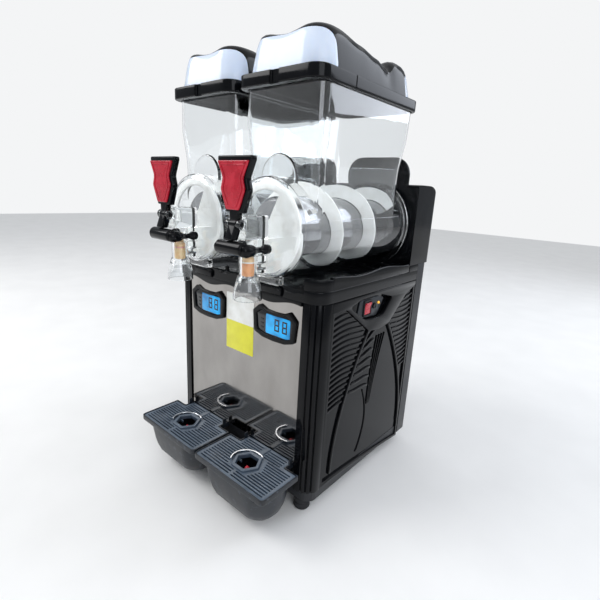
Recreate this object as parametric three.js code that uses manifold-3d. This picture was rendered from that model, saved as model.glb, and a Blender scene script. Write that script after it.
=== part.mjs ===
// Twin-bowl slush machine, built as the separate pieces it comes apart into.
// Millimetres, +Z up. The machine faces -Y, and the origin is on the table under the middle
// of the space it takes up. Inside the group "machine", y = 0 is the steel front panel.

import * as THREE from 'three';
import { mergeVertices } from 'three/addons/utils/BufferGeometryUtils.js';
import Module from 'manifold-3d';

const wasm = await Module();
wasm.setup();

// ---- driving dimensions ----------------------------------------------------------------

const GAP = 0.3;                // clearance between pieces that rest on each other
const HALF_WIDTH = 200;         // cabinet, from the middle to a side
const FRONT_REACH = 114;        // drip trays, ahead of the front panel
const BACK_REACH = 400;         // rear cover, behind the front panel
const TANK_X = 96;              // each bowl's centre line, from the middle
const AXIS_Z = 536;             // height of the augers' axes
const SHEET = 3;                // wall of the moulded panels

const FOOT_HEIGHT = 30;
const PAN_TOP = 50;
const POST_INNER_X = 161;       // where the steel front meets the corner posts
const POST_RADIUS = 30;
const POST_DEPTH = 30;
const TOWER_FRONT = 344;        // rear corner, where the side panels end
const TOWER_BACK = 385;
const DECK_BOTTOM = 419;
const DECK_TOP = 442;
const RAIL_TOP = 465;
const COVER_BOTTOM = 455;
const COVER_FRONT = 303;
const COVER_TOP = 622;
const HUMP_TOP = 676;
const STEEL_BOTTOM = 106.5;
const DISPLAY_FRAME = 9;        // width of the black frame round each display

const BOWL_RADIUS = 84;
const BOWL_FRONT = -38;
const BOWL_REAR = 296;
const BOWL_FLANGE = 93;
const BOWL_WALL = 3;
const HOPPER_TOP = 765;
const HOPPER_FRONT = -10;
const HOPPER_BACK = 284;
const HOPPER_HALF = 84;

const RIM_BOTTOM = 755;
const RIM_TOP = 775;
const RIM_HALF = 90;
const RIM_FRONT = -23;
const RIM_BACK = 290;
const LID_TOP = 840;
const LENS_STEP = 2;            // how far a lid's lens stands proud of its cover

const DRUM_RADIUS = 52;
const DRUM_FRONT = -14;
const DRUM_FLANGE = 82;
const SHAFT_RADIUS = 6;
const AUGER_INNER = 53.2;
const AUGER_OUTER = 78;
const AUGER_DISC = 75.6;        // the disc that ties the helix to the shaft
const AUGER_PITCH = 107.5;
const AUGER_TURNS = 2.9;
const AUGER_START = -29;

const TAP_Y = -68;              // axis of the vertical tap tube
const TAP_TUBE = 15;
const TAP_BORE = 10.6;
const PISTON_RADIUS = 10.2;
const PIVOT_Y = -96;
const PIVOT_Z = 545;
const NOZZLE_BOTTOM = 422;

const TRAY_TOP = 105;
const TRAY_BOTTOM = 20;
const TRAY_HALF = 94;
const NECK_HALF = 62.5;
const NECK_BACK = 6;

const SWITCH_Y = 151;
const SWITCH_Z = 388;
const FAN_Y = 195;
const FAN_Z = 170;

// ---- materials -------------------------------------------------------------------------

const finish = {
  black: { color: 0x111216, roughness: 0.25, metalness: 0 },
  darkGrey: { color: 0x3a4250, roughness: 0.45, metalness: 0 },
  grate: { color: 0x4a5564, roughness: 0.4, metalness: 0 },
  steel: { color: 0xb9b4ae, roughness: 0.12, metalness: 1 },
  darkSteel: { color: 0x6b6d70, roughness: 0.35, metalness: 1 },
  clear: { color: 0xe4ecf2, roughness: 0.05, metalness: 0, transparent: true, opacity: 0.35 },
  pale: { color: 0xd5e1f5, roughness: 0.3, metalness: 0 },
  red: { color: 0xd9203a, roughness: 0.35, metalness: 0 },
  white: { color: 0xf1efe9, roughness: 0.45, metalness: 0 },
  cream: { color: 0xe2a470, roughness: 0.5, metalness: 0 },
  cyan: { color: 0x19b9e8, roughness: 0.1, metalness: 0 },
  rubber: { color: 0x17181a, roughness: 0.8, metalness: 0 },
  enamel: { color: 0x1b1c1f, roughness: 0.3, metalness: 0.2 },
  aluminium: { color: 0xa9adb2, roughness: 0.4, metalness: 1 },
  board: { color: 0x1e5a3a, roughness: 0.5, metalness: 0 },
};

// ---- geometry helpers ------------------------------------------------------------------

// Turn a three.js geometry into a manifold solid with shared corners and outward faces.
function toSolid(geometry) {
  const bare = geometry.clone();
  bare.deleteAttribute('normal');
  bare.deleteAttribute('uv');
  const merged = mergeVertices(bare, 1e-3);
  const spots = merged.attributes.position;
  const faces = [];
  let volume = 0;
  const a = new THREE.Vector3();
  const b = new THREE.Vector3();
  const c = new THREE.Vector3();
  for (let i = 0; i < merged.index.count; i += 3) {
    const [p, q, r] = [merged.index.getX(i), merged.index.getX(i + 1), merged.index.getX(i + 2)];
    if (p === q || q === r || r === p) continue;
    a.fromBufferAttribute(spots, p);
    b.fromBufferAttribute(spots, q);
    c.fromBufferAttribute(spots, r);
    volume += a.dot(b.cross(c));
    faces.push([p, q, r]);
  }
  const facingOut = faces.flatMap(([p, q, r]) => (volume < 0 ? [p, r, q] : [p, q, r]));
  const triVerts = Uint32Array.from(facingOut);
  const vertProperties = Float32Array.from(spots.array);
  return new wasm.Manifold(new wasm.Mesh({ numProp: 3, vertProperties, triVerts }));
}

function toGeometry(solid) {
  const mesh = solid.getMesh();
  const geometry = new THREE.BufferGeometry();
  geometry.setAttribute('position', new THREE.BufferAttribute(mesh.vertProperties, 3));
  geometry.setIndex(new THREE.BufferAttribute(mesh.triVerts, 1));
  geometry.computeVertexNormals();
  return geometry;
}

const cut = (body, ...tools) =>
  toGeometry(tools.reduce((rest, tool) => rest.subtract(toSolid(tool)), toSolid(body)));
const join = (body, ...others) =>
  toGeometry(others.reduce((sum, other) => sum.add(toSolid(other)), toSolid(body)));
const overlap = (body, ...others) =>
  toGeometry(others.reduce((rest, other) => rest.intersect(toSolid(other)), toSolid(body)));
const clean = (geometry) => toGeometry(toSolid(geometry));

function box(x0, x1, y0, y1, z0, z1) {
  const block = new THREE.BoxGeometry(x1 - x0, y1 - y0, z1 - z0);
  return block.translate((x0 + x1) / 2, (y0 + y1) / 2, (z0 + z1) / 2);
}

const extrusion = (shape, depth, curveSegments) =>
  new THREE.ExtrudeGeometry(shape, { depth, bevelEnabled: false, curveSegments });

// An outline drawn in XY, XZ or YZ, given depth along the third axis.
const alongZ = (shape, z0, z1, curve = 2) => extrusion(shape, z1 - z0, curve).translate(0, 0, z0);
const alongY = (shape, y0, y1, curve = 2) =>
  extrusion(shape, y1 - y0, curve).rotateX(Math.PI / 2).translate(0, y1, 0);
const alongX = (shape, x0, x1, curve = 2) =>
  extrusion(shape, x1 - x0, curve).rotateX(Math.PI / 2).rotateZ(Math.PI / 2).translate(x0, 0, 0);

const polygon = (points) => new THREE.Shape(points.map(([x, y]) => new THREE.Vector2(x, y)));

function roundedRect(x0, x1, y0, y1, r) {
  const shape = new THREE.Shape();
  shape.absarc(x1 - r, y0 + r, r, -Math.PI / 2, 0);
  shape.absarc(x1 - r, y1 - r, r, 0, Math.PI / 2);
  shape.absarc(x0 + r, y1 - r, r, Math.PI / 2, Math.PI);
  shape.absarc(x0 + r, y0 + r, r, Math.PI, 1.5 * Math.PI);
  return shape;
}

// A turned piece: profile points are [radius, distance along the axis].
const lathe = (profile, segments) =>
  new THREE.LatheGeometry(profile.map(([r, h]) => new THREE.Vector2(r, h)), segments);
const turnedY = (profile, segments, x = 0, y = 0, z = 0) =>
  clean(lathe(profile, segments).translate(x, y, z));
const turnedZ = (profile, segments, x = 0, y = 0, z = 0) =>
  clean(lathe(profile, segments).rotateX(Math.PI / 2).translate(x, y, z));
const turnedX = (profile, segments, x = 0, y = 0, z = 0) =>
  clean(lathe(profile, segments).rotateZ(-Math.PI / 2).translate(x, y, z));
const rodProfile = (r, h0, h1) => [[0, h0], [r, h0], [r, h1], [0, h1]];

// A solid through level rounded-rectangle sections, lowest first.
function loft(sections) {
  const rings = sections.map((s) => roundedRect(s.x0, s.x1, s.y0, s.y1, s.r).getPoints(2));
  const count = rings[0].length;
  const position = [];
  rings.forEach((ring, i) => ring.forEach((p) => position.push(p.x, p.y, sections[i].z)));
  const index = [];
  for (let i = 0; i + 1 < rings.length; i += 1) {
    for (let j = 0; j < count; j += 1) {
      const [p, q] = [i * count + j, i * count + ((j + 1) % count)];
      index.push(p, q, q + count, p, q + count, p + count);
    }
  }
  const last = (rings.length - 1) * count;
  for (let j = 1; j + 1 < count; j += 1) {
    index.push(0, j + 1, j, last, last + j, last + j + 1);
  }
  const geometry = new THREE.BufferGeometry();
  geometry.setAttribute('position', new THREE.Float32BufferAttribute(position, 3));
  geometry.setIndex(index);
  return geometry;
}

const machine = new THREE.Group();
machine.position.y = (FRONT_REACH - BACK_REACH) / 2;

function add(name, geometry, look, group = machine) {
  const mesh = new THREE.Mesh(geometry, new THREE.MeshStandardMaterial(finish[look]));
  mesh.name = name;
  group.add(mesh);
  return mesh;
}

// ---- cabinet ---------------------------------------------------------------------------

// Shallow pan that everything stands on, with the kick plate behind the drip trays.
function basePan() {
  const [half, front, back] = [HALF_WIDTH - 3.5, 3, TOWER_BACK - 3.5];
  const floor = FOOT_HEIGHT + SHEET;
  const pan = cut(
    alongZ(roundedRect(-half, half, front, back, 20), FOOT_HEIGHT, PAN_TOP - GAP),
    alongZ(roundedRect(-half + SHEET, half - SHEET, front + SHEET, back - SHEET, 17), floor, PAN_TOP),
  );
  const kick = box(-POST_INNER_X + 1, POST_INNER_X - 1, 8, 10.5, floor - 1, STEEL_BOTTOM + 24);
  return join(pan, kick);
}

function foot() {
  const top = FOOT_HEIGHT - GAP;
  const profile = [
    [0, 0], [14, 0], [16, 3], [16, 12], [13.5, 14], [16, 16], [16, 24], [12, top], [0, top],
  ];
  return turnedZ(profile, 12);
}

// Outline of a display, seen from the front: two raised horns and a bowed lower edge.
function displayOutline(inset, kind = THREE.Shape) {
  const [sx, sz] = [(54 - inset) / 54, (32 - inset) / 32];
  const at = (x, z) => [x * sx, 363 + (z - 363) * sz];
  const outline = new kind();
  outline.moveTo(...at(-54, 380));
  outline.lineTo(...at(-37, 394.5));
  outline.quadraticCurveTo(...at(-18, 386), ...at(0, 386));
  outline.quadraticCurveTo(...at(18, 386), ...at(37, 394.5));
  outline.lineTo(...at(54, 380));
  outline.lineTo(...at(50, 339.5));
  outline.quadraticCurveTo(...at(26, 331), ...at(0, 331));
  outline.quadraticCurveTo(...at(-26, 331), ...at(-50, 339.5));
  outline.lineTo(...at(-54, 380));
  return outline;
}

function frontPanel() {
  const edge = POST_INNER_X - GAP;
  const sheet = box(-edge, edge, 0, 2, STEEL_BOTTOM, DECK_BOTTOM - GAP);
  const openings = [-TANK_X, TANK_X].map((x) =>
    alongY(displayOutline(DISPLAY_FRAME), -1, 3, 4).translate(x, 0, 0));
  return cut(sheet, ...openings);
}

function displayBezel() {
  return cut(
    alongY(displayOutline(0), -5, -GAP, 4),
    alongY(displayOutline(DISPLAY_FRAME), -6, 1, 4),
  );
}

const displayWindow = () => alongY(displayOutline(DISPLAY_FRAME + 0.4), -3.4, 7, 4);

// Fluted front corner post; side is +1 on the right and -1 on the left.
function cornerPost(side) {
  const [cx, cy, wall] = [HALF_WIDTH - POST_RADIUS, -3 + POST_RADIUS, 6];
  const flutes = [-75, -55, -35];
  const outline = [[POST_INNER_X + GAP, -3]];
  for (let angle = -90; angle <= 0; angle += 5) {
    const r = POST_RADIUS - (flutes.includes(angle) ? 2.6 : 0);
    const t = THREE.MathUtils.degToRad(angle);
    outline.push([cx + r * Math.cos(t), cy + r * Math.sin(t)]);
  }
  outline.push([HALF_WIDTH, POST_DEPTH], [HALF_WIDTH - wall, POST_DEPTH]);
  for (let angle = 0; angle >= -90; angle -= 15) {
    const t = THREE.MathUtils.degToRad(angle);
    const r = POST_RADIUS - wall;
    outline.push([cx + r * Math.cos(t), cy + r * Math.sin(t)]);
  }
  outline.push([POST_INNER_X + GAP, -3 + wall]);
  return clean(alongZ(polygon(outline.map(([x, y]) => [side * x, y])), PAN_TOP, DECK_BOTTOM - GAP));
}

// The arches moulded into a side panel: how far forward and back they stand at a height.
const frontArch = (z) => 62 + 97 * Math.pow((z - 67) / 275, 1.9);
const rearArch = (z) => 337 - 102 * Math.pow((z - 67) / 275, 1.9);

function sidePanel(side) {
  const [front, back, top] = [POST_DEPTH + GAP, TOWER_FRONT - GAP, DECK_BOTTOM - GAP];
  const outline = new THREE.Shape();
  outline.moveTo(front, 52);
  outline.quadraticCurveTo(200, 44, back, 22);
  outline.lineTo(back, top);
  outline.lineTo(front, top);
  outline.lineTo(front, 52);
  const x0 = side > 0 ? HALF_WIDTH - SHEET : -HALF_WIDTH;
  const opening = (y0, y1, z0, z1) => box(x0 - 1, x0 + SHEET + 1, y0, y1, z0, z1);
  const openings = [];
  for (let z = 225; z < 345; z += 15) {
    openings.push(opening(Math.max(48, frontArch(z) - 54), frontArch(z) - 10, z, z + 5));
  }
  for (let z = 210; z < 345; z += 15) {
    openings.push(opening(rearArch(z) + 8, Math.min(330, rearArch(z) + 52), z, z + 5));
  }
  if (side > 0) {
    openings.push(opening(SWITCH_Y - 26, SWITCH_Y + 34, SWITCH_Z - 19, SWITCH_Z + 19));
  }
  return cut(alongX(outline, x0, x0 + SHEET, 6), ...openings);
}

// Wrap-round steel back with vent slots and the mains inlet's opening.
function rearPanel() {
  const back = TOWER_BACK;
  const outer = roundedRect(-HALF_WIDTH, HALF_WIDTH, 250, back, 12);
  const inner = roundedRect(-HALF_WIDTH + SHEET, HALF_WIDTH - SHEET, 240, back - SHEET, 9);
  const wrap = cut(
    alongZ(outer, FOOT_HEIGHT + GAP, COVER_BOTTOM - GAP),
    alongZ(inner, 0, 500),
    box(-250, 250, 200, TOWER_FRONT, 0, 500),
  );
  const slots = [];
  for (let row = 0; row < 8; row += 1) {
    for (const x of [-30, 30]) {
      slots.push(box(x - 22, x + 22, back - 5, back + 1, 180 + row * 18, 187 + row * 18));
    }
  }
  const inlet = box(-150, -110, back - 5, back + 1, 70, 98);
  return cut(wrap, ...slots, inlet);
}

function powerInlet() {
  const face = TOWER_BACK + GAP;
  const flange = alongY(roundedRect(-157, -103, 65, 103, 4), face, face + 3, 2);
  const body = box(-149.4, -110.6, TOWER_BACK - 22, face + 1, 70.6, 97.4);
  const socket = box(-144, -116, TOWER_BACK - 14, face + 4, 76, 92);
  return cut(join(flange, body), socket);
}

// Bowl deck: hollow slab with a lip over the steel, side rails with a wavy top, and a rear step.
function topDeck() {
  const [half, wall, front] = [HALF_WIDTH, 4, -8];
  const back = TOWER_FRONT - GAP;
  const slab = alongZ(roundedRect(-half, half, front, back + 40, 34), DECK_BOTTOM, DECK_TOP);
  const hollow = alongZ(
    roundedRect(-half + wall, half - wall, front + wall, back + 60, 30), 0, DECK_TOP - wall);
  const step = box(-half, half, COVER_FRONT, back + 1, DECK_BOTTOM, COVER_BOTTOM - GAP);
  const stepHollow = box(
    -half + wall, half - wall, COVER_FRONT + wall, back + 2, 0, COVER_BOTTOM - wall);
  const rail = new THREE.Shape();
  rail.moveTo(26, DECK_TOP - 1);
  rail.lineTo(26, RAIL_TOP - 3);
  for (let y = 26; y <= COVER_FRONT - 4; y += 15) {
    rail.lineTo(y, RAIL_TOP - 3 + 3 * Math.cos((y - 26) / 28));
  }
  rail.lineTo(COVER_FRONT - GAP, RAIL_TOP - 4);
  rail.lineTo(COVER_FRONT - GAP, DECK_TOP - 1);
  const rails = [-half, half - 8].map((x) => alongX(rail, x, x + 8));
  const corners = alongZ(roundedRect(-half, half, front, 60, 34), DECK_TOP - 1, RAIL_TOP - 4);
  const cornersOpen = join(
    alongZ(roundedRect(-half + 8, half - 8, front + 6, 80, 26), DECK_TOP - 2, RAIL_TOP),
    box(-half - 1, half + 1, 26, 90, DECK_TOP - 2, RAIL_TOP),
    box(-half + 34, half - 34, front - 1, 26, DECK_TOP - 2, RAIL_TOP),
  );
  const lip = new THREE.Shape();
  const edge = POST_INNER_X - GAP;
  lip.moveTo(-edge, DECK_BOTTOM + 2);
  for (let x = -edge; x <= edge + 0.1; x += edge / 14) {
    lip.lineTo(x, 409 - 4.5 * Math.cos(((Math.abs(x) - TANK_X + 12) / 60) * Math.PI));
  }
  lip.lineTo(edge, DECK_BOTTOM + 2);
  const sheet = cut(
    join(slab, step, ...rails, cut(corners, cornersOpen), alongY(lip, front, -GAP - 0.2)),
    hollow, stepHollow, box(-250, 250, back, 500, 0, 500),
  );
  const openings = [-TANK_X, TANK_X].map((x) => box(x - 32, x + 23, front - 1, front + 5, 420, 438));
  return cut(sheet, ...openings);
}

// Rear cover over the gear motors, with a hump standing behind each bowl.
function rearCover() {
  const profile = (inset) => {
    const shape = new THREE.Shape();
    const [front, back] = [COVER_FRONT + inset, BACK_REACH - inset];
    const [top, r] = [COVER_TOP - inset, 28];
    const bottom = COVER_BOTTOM - (inset > 0 ? 5 : 0);
    shape.moveTo(front, bottom);
    shape.lineTo(back, bottom);
    shape.lineTo(back, top - r);
    shape.absarc(back - r, top - r, r, 0, Math.PI / 2);
    shape.lineTo(front, top);
    return shape;
  };
  const half = HALF_WIDTH;
  const plan = (inset) =>
    roundedRect(-half + inset, half - inset, COVER_FRONT - 40, BACK_REACH - inset, 14 - inset);
  const block = (inset) => overlap(
    alongX(profile(inset), -half + inset, half - inset),
    alongZ(plan(inset), 0, 900),
  );
  const shell = cut(block(0), block(SHEET));
  const humps = [-TANK_X, TANK_X].map((x) => {
    const hump = roundedRect(x - 76, x + 76, COVER_TOP - 60, HUMP_TOP, 34);
    return alongY(hump, COVER_FRONT, COVER_FRONT + 9, 3);
  });
  const holes = [-TANK_X, TANK_X].map((x) =>
    turnedY(rodProfile(15, COVER_FRONT - 1, COVER_FRONT + 12), 20, x, 0, AXIS_Z));
  return cut(join(shell, ...humps), ...holes);
}

function switchPlate() {
  const [y, z, back, face] = [SWITCH_Y, SWITCH_Z, HALF_WIDTH - 8, HALF_WIDTH - SHEET - GAP];
  const plate = box(back, face, y - 30, y + 38, z - 23, z + 23);
  const fuse = turnedX(rodProfile(6, 0, 2.5), 14, face - 0.1, y + 24, z);
  return cut(join(plate, fuse), box(back - 1, face + 1, y - 11.2, y + 11.2, z - 14.2, z + 14.2));
}

// Rocker with a shallow V face, resting with its lower end out.
function rocker() {
  const face = polygon([[4, -13], [3, 0], [4, 13], [-3, 8], [-3, -8]]);
  const body = alongY(face, -10.7, 10.7).rotateY(THREE.MathUtils.degToRad(8));
  return clean(body.translate(HALF_WIDTH - 6.5, SWITCH_Y, SWITCH_Z));
}

// ---- refrigeration in the base -----------------------------------------------------------

function compressor() {
  const [x, y, floor] = [-85, 235, FOOT_HEIGHT + SHEET + GAP];
  const profile = [[0, 0], [52, 0], [66, 14], [68, 60], [68, 110], [60, 140], [34, 158], [0, 164]];
  const feet = box(x - 78, x + 78, y - 60, y + 60, floor, floor + 3);
  return join(turnedZ(profile, 20, x, y, floor + 2), feet);
}

function condenser() {
  const floor = FOOT_HEIGHT + SHEET + GAP;
  const core = box(152, 188, 70, 320, floor, 290);
  const grooves = [];
  for (let y = 85; y < 315; y += 26) {
    grooves.push(box(150, 158, y, y + 13, floor + 12, 278));
  }
  return cut(core, ...grooves);
}

function fanMotor() {
  const floor = FOOT_HEIGHT + SHEET + GAP;
  const can = [[0, 88], [24, 88], [30, 94], [30, 128], [5, 130], [4, 131], [4, 142], [0, 142]];
  return join(
    turnedX(can, 16, 0, FAN_Y, FAN_Z),
    box(96, 108, FAN_Y - 12, FAN_Y + 12, floor, FAN_Z),
    box(72, 122, FAN_Y - 25, FAN_Y + 25, floor, floor + 3),
  );
}

function fanBlades() {
  const hub = cut(
    turnedX(rodProfile(17, 132, 146), 20, 0, FAN_Y, FAN_Z),
    turnedX(rodProfile(4.6, 131, 143), 12, 0, FAN_Y, FAN_Z),
  );
  const blades = [];
  for (let i = 0; i < 5; i += 1) {
    const blade = box(-1, 1, -17, 17, 14, 95).rotateZ(THREE.MathUtils.degToRad(16));
    blades.push(blade.rotateX((i * 2 * Math.PI) / 5).translate(139, FAN_Y, FAN_Z));
  }
  return join(hub, ...blades);
}

function controlBoard() {
  const board = box(-70, 70, 30, 32, 300, 400);
  const blocks = [
    [-55, -20, 24, 31, 310, 340], [0, 22, 20, 31, 315, 345], [32, 60, 22, 31, 350, 385],
  ];
  return join(board, ...blocks.map((b) => box(...b)));
}

// ---- one tank ---------------------------------------------------------------------------

const hopperSections = (inset, top) => {
  const half = HOPPER_HALF - inset;
  const [front, back, r] = [HOPPER_FRONT + inset, HOPPER_BACK - inset, 20 - inset];
  return [
    { z: 545, x0: -half + 2, x1: half - 2, y0: front + 8, y1: back - 20, r },
    { z: 625, x0: -half + 4, x1: half - 4, y0: front + 8, y1: back - 20, r },
    { z: 700, x0: -half, x1: half, y0: front, y1: back - 7, r },
    { z: top, x0: -half, x1: half, y0: front, y1: back, r },
  ];
};

// Clear bowl: lying cylinder, hopper above it, and the tap body moulded on its front.
function bowl() {
  const w = BOWL_WALL;
  const r = BOWL_RADIUS;
  const outside = [
    [0, BOWL_FRONT], [r - 8, BOWL_FRONT], [r - 2, BOWL_FRONT + 4], [r, BOWL_FRONT + 11],
    [r + 2, BOWL_REAR - 9], [BOWL_FLANGE, BOWL_REAR - 7], [BOWL_FLANGE, BOWL_REAR], [0, BOWL_REAR],
  ];
  const inside = [
    [0, BOWL_FRONT + w], [r - 10, BOWL_FRONT + w], [r - 4.4, BOWL_FRONT + 6], [r - w, BOWL_FRONT + 12],
    [r + 2 - w, BOWL_REAR + 1], [0, BOWL_REAR + 1],
  ];
  const ear = (side) => join(
    box(side * 12 - 3, side * 12 + 3, -94, -82, PIVOT_Z - 9, PIVOT_Z + 9),
    turnedX(rodProfile(8, side * 12 - 3, side * 12 + 3), 12, 0, PIVOT_Y, PIVOT_Z),
  );
  const shell = cut(
    join(turnedY(outside, 28, 0, 0, AXIS_Z), loft(hopperSections(0, HOPPER_TOP)),
      box(-30, 30, -26, -14, DECK_TOP + GAP, DECK_TOP + 20)),
    turnedY(inside, 28, 0, 0, AXIS_Z),
    loft(hopperSections(w, HOPPER_TOP + 1)),
  );
  const bell = [[0, NOZZLE_BOTTOM], [24, NOZZLE_BOTTOM], [23, 440], [18, 458], [TAP_TUBE, 464],
    [TAP_TUBE, 495], [0, 495]];
  const bellBore = [[0, NOZZLE_BOTTOM - 1], [21.5, NOZZLE_BOTTOM - 1], [20.5, 438], [15.5, 452],
    [TAP_BORE, 458], [TAP_BORE, 496], [0, 496]];
  const body = join(
    turnedZ(bell, 18, 0, TAP_Y, 0),
    box(-10, 10, TAP_Y, BOWL_FRONT + 1, 464, 494),
    box(-13, 13, -86, BOWL_FRONT + 1, PIVOT_Z - 25, PIVOT_Z + 13),
    box(-5, 5, -52, BOWL_FRONT + 1, 490, PIVOT_Z - 20),
    ear(-1), ear(1),
  );
  return cut(
    join(shell, body),
    turnedZ(bellBore, 18, 0, TAP_Y, 0),
    turnedY(rodProfile(7, TAP_Y, BOWL_FRONT + 10), 10, 0, 0, 476),
    turnedX(rodProfile(4.3, -20, 20), 12, 0, PIVOT_Y, PIVOT_Z),
    box(-9, 9, -110, -84, 500, 560),
  );
}

// Upper part of the lid: a side profile and a front profile, rounded in plan.
function lidBlock(inset, floor) {
  const side = new THREE.Shape();
  const drop = inset;
  side.moveTo(-14 + inset, floor);
  side.lineTo(-9 + inset, LID_TOP - drop);
  side.lineTo(40, LID_TOP - drop);
  side.lineTo(100, 833 - drop);
  side.quadraticCurveTo(140, 830 - drop, 165, 822 - drop);
  side.quadraticCurveTo(185, 816 - drop, 204, 823 - drop);
  side.quadraticCurveTo(216, 833 - drop, 230, 834 - drop);
  side.lineTo(264 - inset, 834 - drop);
  side.lineTo(276 - inset, 800);
  side.lineTo(282 - inset, floor);
  const [foot, brow, peak] = [HOPPER_HALF - inset, 73 - inset, 62 - inset];
  const front = new THREE.Shape();
  front.moveTo(-foot, floor);
  front.lineTo(-foot, RIM_TOP);
  front.lineTo(-brow, 822 - drop);
  front.quadraticCurveTo(-brow + 2, LID_TOP - 4 - drop, -peak, LID_TOP - drop);
  front.quadraticCurveTo(0, LID_TOP - 9 - drop, peak, LID_TOP - drop);
  front.quadraticCurveTo(brow - 2, LID_TOP - 4 - drop, brow, 822 - drop);
  front.lineTo(foot, RIM_TOP);
  front.lineTo(foot, floor);
  const plan = roundedRect(-foot, foot, -14 + inset, 282 - inset, 26 - inset);
  return overlap(
    alongX(side, -100, 100, 3),
    alongY(front, -60, 320, 2),
    alongZ(plan, floor - 1, 900, 2),
  );
}

function lidCover() {
  const [half, front, back] = [HOPPER_HALF + 0.6, HOPPER_FRONT - 0.6, HOPPER_BACK + 0.6];
  const rim = cut(
    alongZ(roundedRect(-RIM_HALF, RIM_HALF, RIM_FRONT, RIM_BACK, 24), RIM_BOTTOM, RIM_TOP),
    alongZ(roundedRect(-half, half, front, back, 20), RIM_BOTTOM - 1, HOPPER_TOP + GAP),
    box(-10, 10, RIM_FRONT - 1, RIM_FRONT + 5, RIM_BOTTOM - 1, RIM_TOP + 1),
  );
  return cut(
    join(rim, lidBlock(LENS_STEP, RIM_TOP - 2)),
    lidBlock(LENS_STEP + 3.5, HOPPER_TOP - 1),
  );
}

// A pale lens is a skin over the lid, wrapped round its front or rear corners.
function lidLens(yMin, yMax, zMin, zMax) {
  const skin = cut(lidBlock(0, RIM_TOP - 2), lidBlock(LENS_STEP - GAP, RIM_TOP - 3));
  return overlap(skin, box(-100, 100, yMin, yMax, zMin, zMax));
}

// White plastic auger: a scraping helix round the drum, tied to the shaft by a front spider.
function auger() {
  const [perTurn, half] = [22, 2];
  const section = [
    [AUGER_INNER, -half], [AUGER_OUTER, -half], [AUGER_OUTER, half], [AUGER_INNER, half],
  ];
  const steps = Math.round(perTurn * AUGER_TURNS);
  const position = [];
  const index = [];
  for (let i = 0; i <= steps; i += 1) {
    const t = -(2 * Math.PI * i) / perTurn;
    const y = AUGER_START + (AUGER_PITCH * i) / perTurn;
    for (const [r, dy] of section) {
      position.push(r * Math.cos(t), y + dy, AXIS_Z + r * Math.sin(t));
    }
    if (i === 0) continue;
    const [p, q] = [(i - 1) * 4, i * 4];
    for (let k = 0; k < 4; k += 1) {
      const n = (k + 1) % 4;
      index.push(p + k, q + k, q + n, p + k, q + n, p + n);
    }
  }
  const end = steps * 4;
  index.push(0, 1, 2, 0, 2, 3, end, end + 2, end + 1, end, end + 3, end + 2);
  const helix = new THREE.BufferGeometry();
  helix.setAttribute('position', new THREE.Float32BufferAttribute(position, 3));
  helix.setIndex(index);
  const [front, back] = [AUGER_START - 2, AUGER_START + 3];
  const rim = [[0, front], [AUGER_DISC - 3, front], [AUGER_DISC, back], [0, back]];
  const disc = turnedY(rim, 22, 0, 0, AXIS_Z);
  const window = new THREE.Shape();
  window.absarc(0, 0, 62, 0.35 * Math.PI, 1.2 * Math.PI);
  window.absarc(0, 0, 16, 1.2 * Math.PI, 0.35 * Math.PI, true);
  const nose = [[0, front - 1], [9, front - 1], [13, front + 2], [13, -18], [0, -18]];
  const opening = alongY(window, front - 1, back + 1, 4).translate(0, 0, AXIS_Z);
  return cut(
    join(helix, cut(disc, opening), turnedY(nose, 14, 0, 0, AXIS_Z)),
    turnedY(rodProfile(SHAFT_RADIUS + 0.4, -40, 0), 12, 0, 0, AXIS_Z),
  );
}

// Stainless freezing drum with a mounting flange; the shaft runs through it.
function drum() {
  const flange = COVER_FRONT - GAP;
  const outside = [[0, DRUM_FRONT], [DRUM_RADIUS - 8, DRUM_FRONT], [DRUM_RADIUS, DRUM_FRONT + 8],
    [DRUM_RADIUS, flange - 4], [DRUM_FLANGE, flange - 4], [DRUM_FLANGE, flange], [0, flange]];
  return cut(
    turnedY(outside, 28, 0, 0, AXIS_Z),
    turnedY(rodProfile(SHAFT_RADIUS + 2, DRUM_FRONT - 1, flange + 1), 12, 0, 0, AXIS_Z),
  );
}

function bowlSeal() {
  const [inner, outer] = [DRUM_RADIUS + GAP, BOWL_RADIUS - 2.4];
  const profile = [[inner, 287], [outer, 287], [outer, 297.5], [inner, 297.5], [inner, 287]];
  return turnedY(profile, 28, 0, 0, AXIS_Z);
}

const driveShaft = () => turnedY(
  [[0, -33], [4.5, -33], [SHAFT_RADIUS, -31.5], [SHAFT_RADIUS, 318], [0, 318]], 12, 0, 0, AXIS_Z);

function gearMotor() {
  const face = COVER_FRONT + SHEET + 6 + GAP;
  const body = join(
    box(-38, 38, face, face + 24, AXIS_Z - 44, AXIS_Z + 38),
    turnedY([[0, face + 20], [32, face + 20], [32, 380], [24, 388], [0, 388]], 16, 0, 0, AXIS_Z + 2),
  );
  return cut(body, turnedY(rodProfile(SHAFT_RADIUS + 0.4, face - 1, 320), 12, 0, 0, AXIS_Z));
}

// Paddle outline, seen from the front.
function paddleOutline(inset) {
  const s = (x) => x - inset;
  const [top, bottom] = [644 - inset, 562 + inset];
  const shape = new THREE.Shape();
  shape.moveTo(-s(37.5), top);
  shape.lineTo(-s(37.5), top - 5);
  shape.quadraticCurveTo(-s(25), 622, -s(27), 610);
  shape.quadraticCurveTo(-s(32), 603, -s(31), 597);
  shape.lineTo(-s(18), bottom);
  shape.lineTo(s(18), bottom);
  shape.lineTo(s(31), 597);
  shape.quadraticCurveTo(s(32), 603, s(27), 610);
  shape.quadraticCurveTo(s(25), 622, s(37.5), top - 5);
  shape.lineTo(s(37.5), top);
  return shape;
}

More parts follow.
